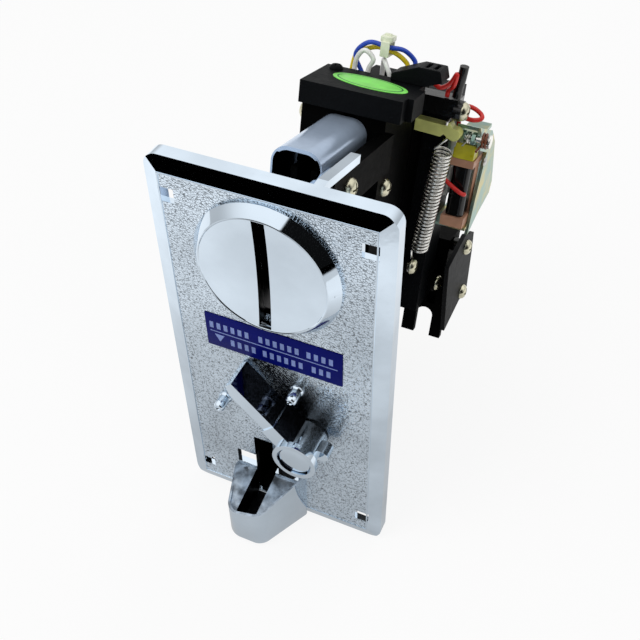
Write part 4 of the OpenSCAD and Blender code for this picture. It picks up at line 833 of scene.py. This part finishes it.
label = {
    "centre": (-0.1, 10.5),
    "size": (40.2, 12.2),
    "thick": 0.25,
    "blockHigh": 2.3,
    "blockWide": 1.15,
    "pitch": 2.12,
    "rows": [(12.5, [(-18.9, 6), (-4.2, 6), (9.8, 4)]), (7.5, [(-12.9, 4), (-3.2, 6), (11.2, 3)])],
    "divider": (-18.9, 18.6, 10.25, 0.32),
    "arrow": (-16.2, 8.4, 1.75),
    "printLift": 0.05,
    "edge": 0.1,
    "printEdge": 0.02,
}


def makeLabel(shape):
    (x, z), (width, height) = shape["centre"], shape["size"]
    front = fieldY - shape["thick"]
    low, high = (x - width / 2, front, z - height / 2), (x + width / 2, fieldY, z + height / 2)
    plate = boxShape("blueLabel", low, high, 0)
    bevelEdges(plate, shape["edge"])
    smoothByAngle(plate)
    finishPiece(plate, "label_blue", "housing", "label_plate")
    marks = []
    lift = front - shape["printLift"]
    half, edge = shape["blockHigh"] / 2, shape["printEdge"]
    block = boxShape("block", (0, lift, -half), (shape["blockWide"], front, half), edge, 1)
    for high, words in shape["rows"]:
        for start, count in words:
            for step in range(count):
                mark = copyPiece(block, "mark")
                mark.location = ((start + step * shape["pitch"]) * mm, 0, high * mm)
                settle(mark)
                marks.append(mark)
    bpy.data.objects.remove(block)
    left, right, high, thick = shape["divider"]
    low, high = (left, lift, high - thick / 2), (right, front, high + thick / 2)
    marks.append(boxShape("divider", low, high, edge, 1))
    arrowX, arrowZ, arrowR = shape["arrow"]
    deselectAll()
    bpy.ops.mesh.primitive_cylinder_add(vertices=3, radius=arrowR * mm,
        depth=shape["printLift"] * mm)
    arrow = bpy.context.object
    turn = Matrix.Rotation(math.radians(90), 4, "X") @ Matrix.Rotation(math.radians(180), 4, "Z")
    arrow.matrix_world = Matrix.Translation(Vector((arrowX, (front + lift) / 2, arrowZ)) * mm) @ turn
    settle(arrow)
    applyModifier(arrow, "BEVEL", width=edge * mm, segments=1)
    marks.append(arrow)
    finishPiece(joinPieces(marks, "labelPrint"), "print_white", "housing")


makeLabel(label)


# Return cup: a thin cast wall round two shoulders and the coin's groove

cup = {
    "back": (-16.4, 8),
    "circles": [(-7.3, 10.9, 5.5), (-2.6, 11.9, 4.5)],  # right, distance in front of the field, radius
    "base": -62.5,
    "top": -41,
    "rim": ((0, 0, -43.6), (-0.302, -0.165, 1)),
    "wall": 0.75,
    "grooveWall": 1.3,
    "shoulder": ((0, fieldY, -48), (0, -0.249, 1)),
    "shoulderHigh": (-53, -44),  # heights between which the shoulders' middles lie
    "groove": (-8.9, -2.6),
    "grooveLow": -60,
    "grooveTop": -47.5,
    "grooveFront": -20.6,
    "screws": [(-12.8, -55.5), (1.4, -55.5)],
    "screwBore": (1.25, 4.1),
    "edge": 0.3,
}


def cupPrism(name, shape, inset, low, high, back):
    parts = []
    left, right = shape["back"]
    parts.append(boxShape(name, (left + inset, -6, low), (right - inset, back, high), 0))
    for x, out, radius in shape["circles"]:
        deselectAll()
        bpy.ops.mesh.primitive_cylinder_add(vertices=96, radius=(radius - inset) * mm,
            depth=(high - low) * mm, location=(x * mm, (fieldY - out) * mm, (low + high) / 2 * mm))
        parts.append(bpy.context.object)
    prism = joinPieces(parts, name)
    settle(prism)
    startEdit(prism)
    bpy.ops.mesh.convex_hull()
    endEdit()
    return prism


def sliceOff(piece, place, way, dropFront=True):
    # cuts the piece at a plane, drops what lies in front of it and closes the cut
    startEdit(piece)
    bpy.ops.mesh.bisect(plane_co=Vector(place) * mm, plane_no=Vector(way).normalized(), use_fill=True,
        clear_outer=dropFront, clear_inner=not dropFront, threshold=0.001 * mm)
    endEdit()


def makeCup(shape):
    body = cupPrism("returnCup", shape, 0, shape["base"], shape["top"], fieldY)
    sliceOff(body, *shape["rim"])
    hollow = cupPrism("cupHollow", shape, shape["wall"], shape["base"], 0, -3)
    sliceOff(hollow, *shape["shoulder"], dropFront=False)
    cutAway(body, hollow)
    groove = cupPrism("cupGroove", shape, shape["grooveWall"], shape["grooveLow"], 0, -3)
    left, right = shape["groove"]
    sliceOff(groove, (left, 0, 0), (-1, 0, 0))
    sliceOff(groove, (right, 0, 0), (1, 0, 0))
    cutAway(body, groove)
    for x, z in shape["screws"]:
        bore = boreTool(*shape["screwBore"])
        pointTo(bore, (x, fieldY, z), (0, -1, 0))
        settle(bore)
        cutAway(body, bore)
    bevelEdges(body, shape["edge"], 3, miter_outer="MITER_ARC")
    smoothByAngle(body, 30)
    finishPiece(body, "chrome_bright", "housing", "return_cup")

    def isShoulder(face):
        lowest, highest = shape["shoulderHigh"]
        return face.normal.z > facing and lowest < face.center.z / mm < highest

    def isGroove(face):
        x, y, z = face.center / mm
        within = left - 0.1 < x < right + 0.1 and shape["grooveLow"] - 0.1 < z < shape["grooveTop"]
        return within and y > shape["grooveFront"] and not isShoulder(face)

    # painted shade in the coin's groove
    paintShadeOnFaces(body, isGroove)
    # painted reflection on the shoulders, in duller grey chrome
    paintShadeOnFaces(body, isShoulder, "chrome_dull")


makeCup(cup)


# Pivot: the shaft's polished head, in the ring of the lever's flange

def makePivot(shape):
    shaft = turnedShape("leverShaft", shape["shaft"], 96)
    pointTo(shaft, shape["place"], (0, -1, 0))
    settle(shaft)
    smoothByAngle(shaft, 35)
    finishPiece(shaft, "chrome_bright", bodyOf["lever_shaft"], "lever_shaft")


makePivot(pivot)
print("front pieces made")


# Pan-head screws: one model, copied to every place

screws = {
    "head": [(0, 1.9), (1.0, 1.86), (1.7, 1.68), (2.25, 1.28), (2.58, 0.7), (2.7, 0.25), (2.7, 0),
        (1.35, 0), (1.35, -1.2), (1.15, -1.5), (0, -1.5)],
    "tip": -1.5,
    "cross": (1.7, 0.27, 0.95),  # half length, half width and lowest point of the recess
    "small": 0.72,
    "places": {
        "cover_screws": ([(-14, 34, -25), (-14, 34, 59.6), (-14, 63, -25), (-14, 63, 59.6)],
            (-1, 0, 0), 1, 4.8),
        "cap_screws": ([(-10.4, 43.5, 69.7)], (0, 0, 1), 0, 6.1),
        "arm_screw": ([(12.6, 0.9, 54.9)], (1, 0, 0), 1, 5),
        "spring_screw": ([(15.125, 62.5, 6.5)], (1, 0, 0), 1, 6),
        "board_screws": ([(12, 80.8, -7), (12, 80.8, 56.2)], (0, 1, 0), 0, 2.8),
    },
    "pairs": {
        "body_screws": [((10.4, 36, 42), 1.6), ((23.65, 58.7, 60.8), 5)],
        "rear_screws": [((26, 90.2, 4.7), 6.2), ((26, 97.1, -16.2), 6.2), ((20.5, 79.5, -6), 2.5)],
    },
    "behind": {
        "disc_screws": [(-17.6, 38.5, 3.8), (17.6, 38.5, 3.8)],
        "cup_screws": [(-12.8, -55.5, 5.2), (1.4, -55.5, 5.2)],
    },
}


def makeScrewModel(shape):
    model = turnedShape("panScrew", shape["head"], 40)
    half, side, low = shape["cross"]
    for size in ((half, side), (side, half)):
        cutAway(model, boxShape("crossTool", (-size[0], -size[1], low), (size[0], size[1], 3), 0))
    bevelEdges(model, 0.06, 1, 55)
    smoothByAngle(model, 34)
    return model


def placeScrew(model, number, node, place, way, length, small=False, leaned=True):
    screw = copyPiece(model, node + "Piece" + str(number))
    size = screws["small"] if small else 1
    for point in screw.data.vertices:
        if point.co.z < -mm:
            point.co.z -= max(0, length / size + screws["tip"]) * mm
    pointTo(screw, place, way)
    if small:
        screw.matrix_world = screw.matrix_world @ Matrix.Scale(size, 4)
    settle(screw, leaned)
    return screw


def makeScrews(shape):
    model = makeScrewModel(shape)
    made = {}
    for node, (places, way, large, length) in shape["places"].items():
        made[node] = [placeScrew(model, i, node, place, way, length, not large)
            for i, place in enumerate(places)]
    for node, pairs in shape["pairs"].items():
        made[node] = [placeScrew(model, i, node, place, (1, 0, 0), length)
            for i, (place, length) in enumerate(pairs)]
    for node, places in shape["behind"].items():
        made[node] = [placeScrew(model, i, node, (x, skinBackY, z), (0, 1, 0), length, True, False)
            for i, (x, z, length) in enumerate(places)]
    for node, pieces in made.items():
        piece = joinPieces(pieces, node.replace("_", "") + "Set")
        finish = "grey_moulded" if node == "cap_screws" else "screw_steel"
        finishPiece(piece, finish, bodyOf[node], node)
    bpy.data.objects.remove(model)


makeScrews(screws)
print("screws placed")


# Springs, wound along the same lines as the solids

longSpring = {
    "radius": 2.575,
    "wire": 0.39,
    "turns": 28,
    "perTurn": 18,
    "low": (16.6, 62.5, 13.2),
    "top": (19.9, 58.6, 48),
    "lowLoop": (14.5625, 62.5, 7.0, 2.3),
    "topLoop": (20.3, 58.6, 55.0, 3.3),
    "loopTurn": 240,
}
smallSteps = 24  # steps in a turn of the small springs
smallSprings = {
    "lever_spring": {"place": (10.3, 4.4, -19.8), "axes": ("x", "z", "-y"), "leaned": False,
        "radius": 3.8, "pitch": 0.9, "turns": 3, "wire": 0.35, "start": (3.8, -7.6, 0),
        "end": (3.8, 7.6, 2.7), "finish": "spring_steel"},
    "armature_spring": {"place": (25.28, 62.8, 52.4), "axes": ("z", "y", "-x"), "leaned": True,
        "radius": 1.5, "pitch": 0.6, "turns": 2.25, "wire": 0.28, "start": (1.5, -4, 0),
        "end": (0, 4, 1.35), "finish": "spring_steel"},
    "post_spring": {"place": (29.75, 62.8, 52.4), "axes": ("z", "y", "-x"), "leaned": True,
        "radius": 2, "pitch": 0.88, "turns": 2, "wire": 0.4, "start": (2, -5, 0),
        "end": (2, 5, 1.76), "finish": "copper_winding"},
}


def loopPoints(centre, first, last, step=12):
    x, y, z, radius = centre
    points = []
    angle = first
    while angle <= last:
        turn = math.radians(angle)
        points.append(Vector((x, y + radius * math.sin(turn), z - radius * math.cos(turn))))
        angle += step
    return points


def makeLongSpring(shape):
    low, top = Vector(shape["low"]), Vector(shape["top"])
    way = (top - low).normalized()
    sideways = Vector((1, 0, 0))
    across = -(sideways - sideways.dot(way) * way).normalized()
    other = way.cross(across)
    lowLoop, topLoop = shape["lowLoop"], shape["topLoop"]
    route = loopPoints(lowLoop, 180 - shape["loopTurn"], 180)
    x, y, z, radius = lowLoop
    route.append((Vector((x, y, z + radius)) + low + shape["radius"] * across) / 2)
    steps = shape["turns"] * shape["perTurn"]
    for i in range(steps + 1):
        turn = 2 * math.pi * i / shape["perTurn"]
        reach = shape["radius"] * (math.cos(turn) * across + math.sin(turn) * other)
        route.append(low + (top - low) * i / steps + reach)
    x, y, z, radius = topLoop
    route.append((Vector((x, y, z - radius)) + top + shape["radius"] * across) / 2)
    route += loopPoints(topLoop, 0, shape["loopTurn"])
    spring = bentWire("tensionSpringWire", route, shape["wire"], True, 2)
    finishPiece(spring, "spring_steel", bodyOf["tension_spring"], "tension_spring")


def makeSmallSpring(node, shape):
    points = [Vector(shape["start"])]
    steps = int(shape["turns"] * smallSteps)
    for i in range(steps + 1):
        turn = 2 * math.pi * i / smallSteps
        points.append(Vector((shape["radius"] * math.cos(turn), shape["radius"] * math.sin(turn),
            shape["pitch"] * i / smallSteps)))
    points.append(Vector(shape["end"]))
    route = []
    for point in points:
        values = {"x": point.x, "y": point.y, "z": point.z, "-x": -point.x, "-y": -point.y}
        route.append(Vector([values[axis] for axis in shape["axes"]]) + Vector(shape["place"]))
    spring = bentWire(node.replace("_s", "S") + "Wire", route, shape["wire"], shape["leaned"], 2)
    finishPiece(spring, shape["finish"], bodyOf[node], node)


makeLongSpring(longSpring)
for nodeName, springShape in smallSprings.items():
    makeSmallSpring(nodeName, springShape)
print("springs wound")


# Wires, along the same points as the solids, from the body's upper back edge

wireStart = (0, 67, 63.6)
leadRadius = 0.675
wires = {
    "red_wires": ("wire_red", leadRadius, [
        [(11.2, -15.9, 7.6), (11.4, -14, 7.4), (14, -12.6, 5.4), (17, -12.4, 3.8), (19.5, -12, 5.4),
            (21.1, -12.4, 8.4), (20.6, -11.8, 4.9), (18.9, -9.8, 2.8), (18.6, -9.4, 0.8)],
        [(21.4, -4.5, -2.6), (21.8, -2.8, -2.6), (25.2, -2.4, -3), (28, -3.4, -4), (28.6, -5, -4.8),
            (26.6, -5.8, -5.4), (23.6, -5, -5.6), (21.6, -2.4, -6.4), (21.5, -0.4, -10.6), (22, 0, -14.5)],
        [(17, -0.1, -25), (17.2, -1.6, -25.1), (20, -2, -26.2), (22.6, -2, -28), (25.4, -1.8, -29.6),
            (26.8, -1, -30.4), (26.8, -0.1, -30.6)]]),
    "blue_wire": ("wire_blue", leadRadius, [
        [(-4.2, -18, 0.1), (-4.6, -17.8, 4.4), (-7.2, -18, 9.6), (-3.6, -18, 13.6), (2.2, -18, 13.3),
            (6, -15.4, 12.6), (8.8, -13.6, 10), (9.2, -14.2, 8.2), (9.2, -15.9, 8)]]),
    "yellow_wire": ("wire_yellow", leadRadius, [
        [(-8.4, -16.2, 0.1), (-8.4, -16.2, 6), (-7.1, -16.2, 9.8), (-2.2, -16.2, 12.2), (1.6, -16.3, 12.1),
            (4.6, -15.4, 11), (6.8, -13.8, 8.8), (7.2, -14.4, 7.6), (7.2, -15.9, 7.4)]]),
    "white_wires": ("wire_white", leadRadius, [
        [(-1.6, -19.5, 0.1), (-2.4, -19.6, 6.2), (-1.1, -20.1, 9.8), (-3.8, -20.1, 11.8), (-5.9, -20, 9.4),
            (-6.6, -19.5, 4.8), (-6.6, -19.5, 0.1)],
        [(4.6, -19.4, 0.1), (4.6, -19.8, 5), (2.8, -19.6, 8.6), (1.4, -17.6, 9.4), (0.4, -15.4, 8.8),
            (0, -14.2, 5.4), (0, -14, 0.1)]]),
    "black_wire": ("wire_black", 2 * leadRadius, [
        [(21.2, -8.8, 0.9), (21.5, -9, 3.4), (22.1, -10, 6.8), (22.4, -10.4, 10.4)]]),
}
for nodeName, (finish, radius, routes) in wires.items():
    strands = []
    for number, points in enumerate(routes):
        route = [point + Vector(wireStart) for point in smoothRoute(points)]
        strands.append(bentWire(nodeName + str(number), route, radius))
    wire = joinPieces(strands, nodeName.replace("_w", "W"))
    finishPiece(wire, finish, bodyOf[nodeName], nodeName)
print("wires laid")


# Cable tie: a thin band with its head on top

tie = {"x": (0.3, 2.9), "y": (47.4, 52.2), "z": (74.35, 78.55), "band": 0.5,
    "head": ((-0.2, 48.0, 78.3), (3.4, 51.6, 79.9)), "tail": ((0.6, 49.3, 79.7), (2.6, 50.1, 80.46))}


def makeTie(shape):
    (x0, x1), (y0, y1), (z0, z1) = shape["x"], shape["y"], shape["z"]
    thick = shape["band"]
    band = boxShape("cableTie", (x0, y0, z0), (x1, y1, z1), 0)
    low, high = (x0 - 1, y0 + thick, z0 + thick), (x1 + 1, y1 - thick, z1 - thick)
    cutAway(band, boxShape("tieTool", low, high, 0))
    head = boxShape("tieHead", *shape["head"], 0.35)
    tail = boxShape("tieTail", *shape["tail"], 0.15)
    bevelEdges(band, 0.2, 3)
    band = joinPieces([band, head, tail], "cableTie")
    settle(band, True)
    smoothByAngle(band)
    finishPiece(band, "tie_natural", bodyOf["cable_tie"], "cable_tie")


makeTie(tie)


# Oval sticker on the cap, with a plain ring

sticker = {"place": (2.2, 37, 69.7), "rx": 11.2, "ry": 4.75, "thick": 0.2, "turn": -7,
    "ring": (9.9, 9.45), "ringLift": 0.04}


def makeSticker(shape):
    thick, rx, ry = shape["thick"], shape["rx"], shape["ry"]
    turn = Matrix.Rotation(math.radians(shape["turn"]), 4, "Z") @ Matrix.Scale(ry / rx, 4, (0, 1, 0))
    rim = [(0, 0), (rx, 0), (rx, thick * 0.6), (rx - 0.15, thick), (0, thick)]
    outer, inner = shape["ring"]
    low, high = thick * 0.8, thick + shape["ringLift"]
    band = [(inner, low), (outer, low), (outer, high), (inner, high), (inner, low)]
    for name, profile, finish, nodes in (("capSticker", rim, "sticker_green", ["cap_sticker"]),
            ("stickerRing", band, "ring_dark", [])):
        piece = turnedShape(name, profile, 96)
        piece.matrix_world = Matrix.Translation(Vector(shape["place"]) * mm) @ turn
        settle(piece, True)
        smoothByAngle(piece)
        finishPiece(piece, finish, "housing", *nodes)


makeSticker(sticker)
print("tie and sticker made")


# Chips with their legs and the plug's pins, on the back of the board

board = {
    "chips": [-1.6, 12.8, 27.2],  # heights of their middles
    "chip": ((-7.25, 80.6, -4.05), (5.65, 81.85, 4.05)),
    "leg": ((-0.25, 80.7, 4.0), (0.25, 81.3, 5.1)),
    "legs": 7,
    "legPitch": 1.78,
    "legMiddle": -0.8,
    "plug": ((9.95, 80.6, -0.85), (13.25, 82.45, 13.65)),
    "pin": ((11.3, 82.2, -0.3), (11.9, 83.9, 0.3)),
    "pins": 5,
    "pinLow": 1.2,
    "pinPitch": 2.6,
}


def copyAt(model, offset):
    piece = copyPiece(model, model.name + "Copy")
    piece.location = Vector(offset) * mm
    return piece


def makeBoardParts(shape):
    chip = boxShape("chip", *shape["chip"], 0.2)
    leg = boxShape("leg", *shape["leg"], 0.08, 1)
    pin = boxShape("pin", *shape["pin"], 0.12, 1)
    turned = copyPiece(leg, "legTurned")
    turned.matrix_world = Matrix.Scale(-1, 4, (0, 0, 1))
    settle(turned)
    startEdit(turned)
    endEdit(True)
    blacks = [boxShape("plugBody", *shape["plug"], 0.25)]
    metals = []
    middle = (shape["legs"] - 1) / 2
    for height in shape["chips"]:
        blacks.append(copyAt(chip, (0, 0, height)))
        for step in range(shape["legs"]):
            place = (shape["legMiddle"] + (step - middle) * shape["legPitch"], 0, height)
            metals += [copyAt(leg, place), copyAt(turned, place)]
    for step in range(shape["pins"]):
        metals.append(copyAt(pin, (0, 0, shape["pinLow"] + step * shape["pinPitch"])))
    for model in (chip, leg, turned, pin):
        bpy.data.objects.remove(model)
    for pieces, name, finish in ((blacks, "boardChips", "black_moulded"),
            (metals, "boardLegs", "soft_iron")):
        joined = joinPieces(pieces, name)
        settle(joined, True)
        smoothByAngle(joined)
        finishPiece(joined, finish, "housing")


makeBoardParts(board)


# Rivet on the solenoid's bracket

rivet = {"place": (29.3, 75.5, 41.5), "profile": [(0, 0.7), (0.6, 0.65), (1.05, 0.42), (1.3, 0), (0, 0)]}


def makeRivet(shape):
    piece = turnedShape("bracketRivet", shape["profile"], 32)
    pointTo(piece, shape["place"], (1, 0, 0))
    settle(piece, True)
    smoothByAngle(piece, 40)
    finishPiece(piece, "soft_iron", "housing")


makeRivet(rivet)
print("board and bracket details made")
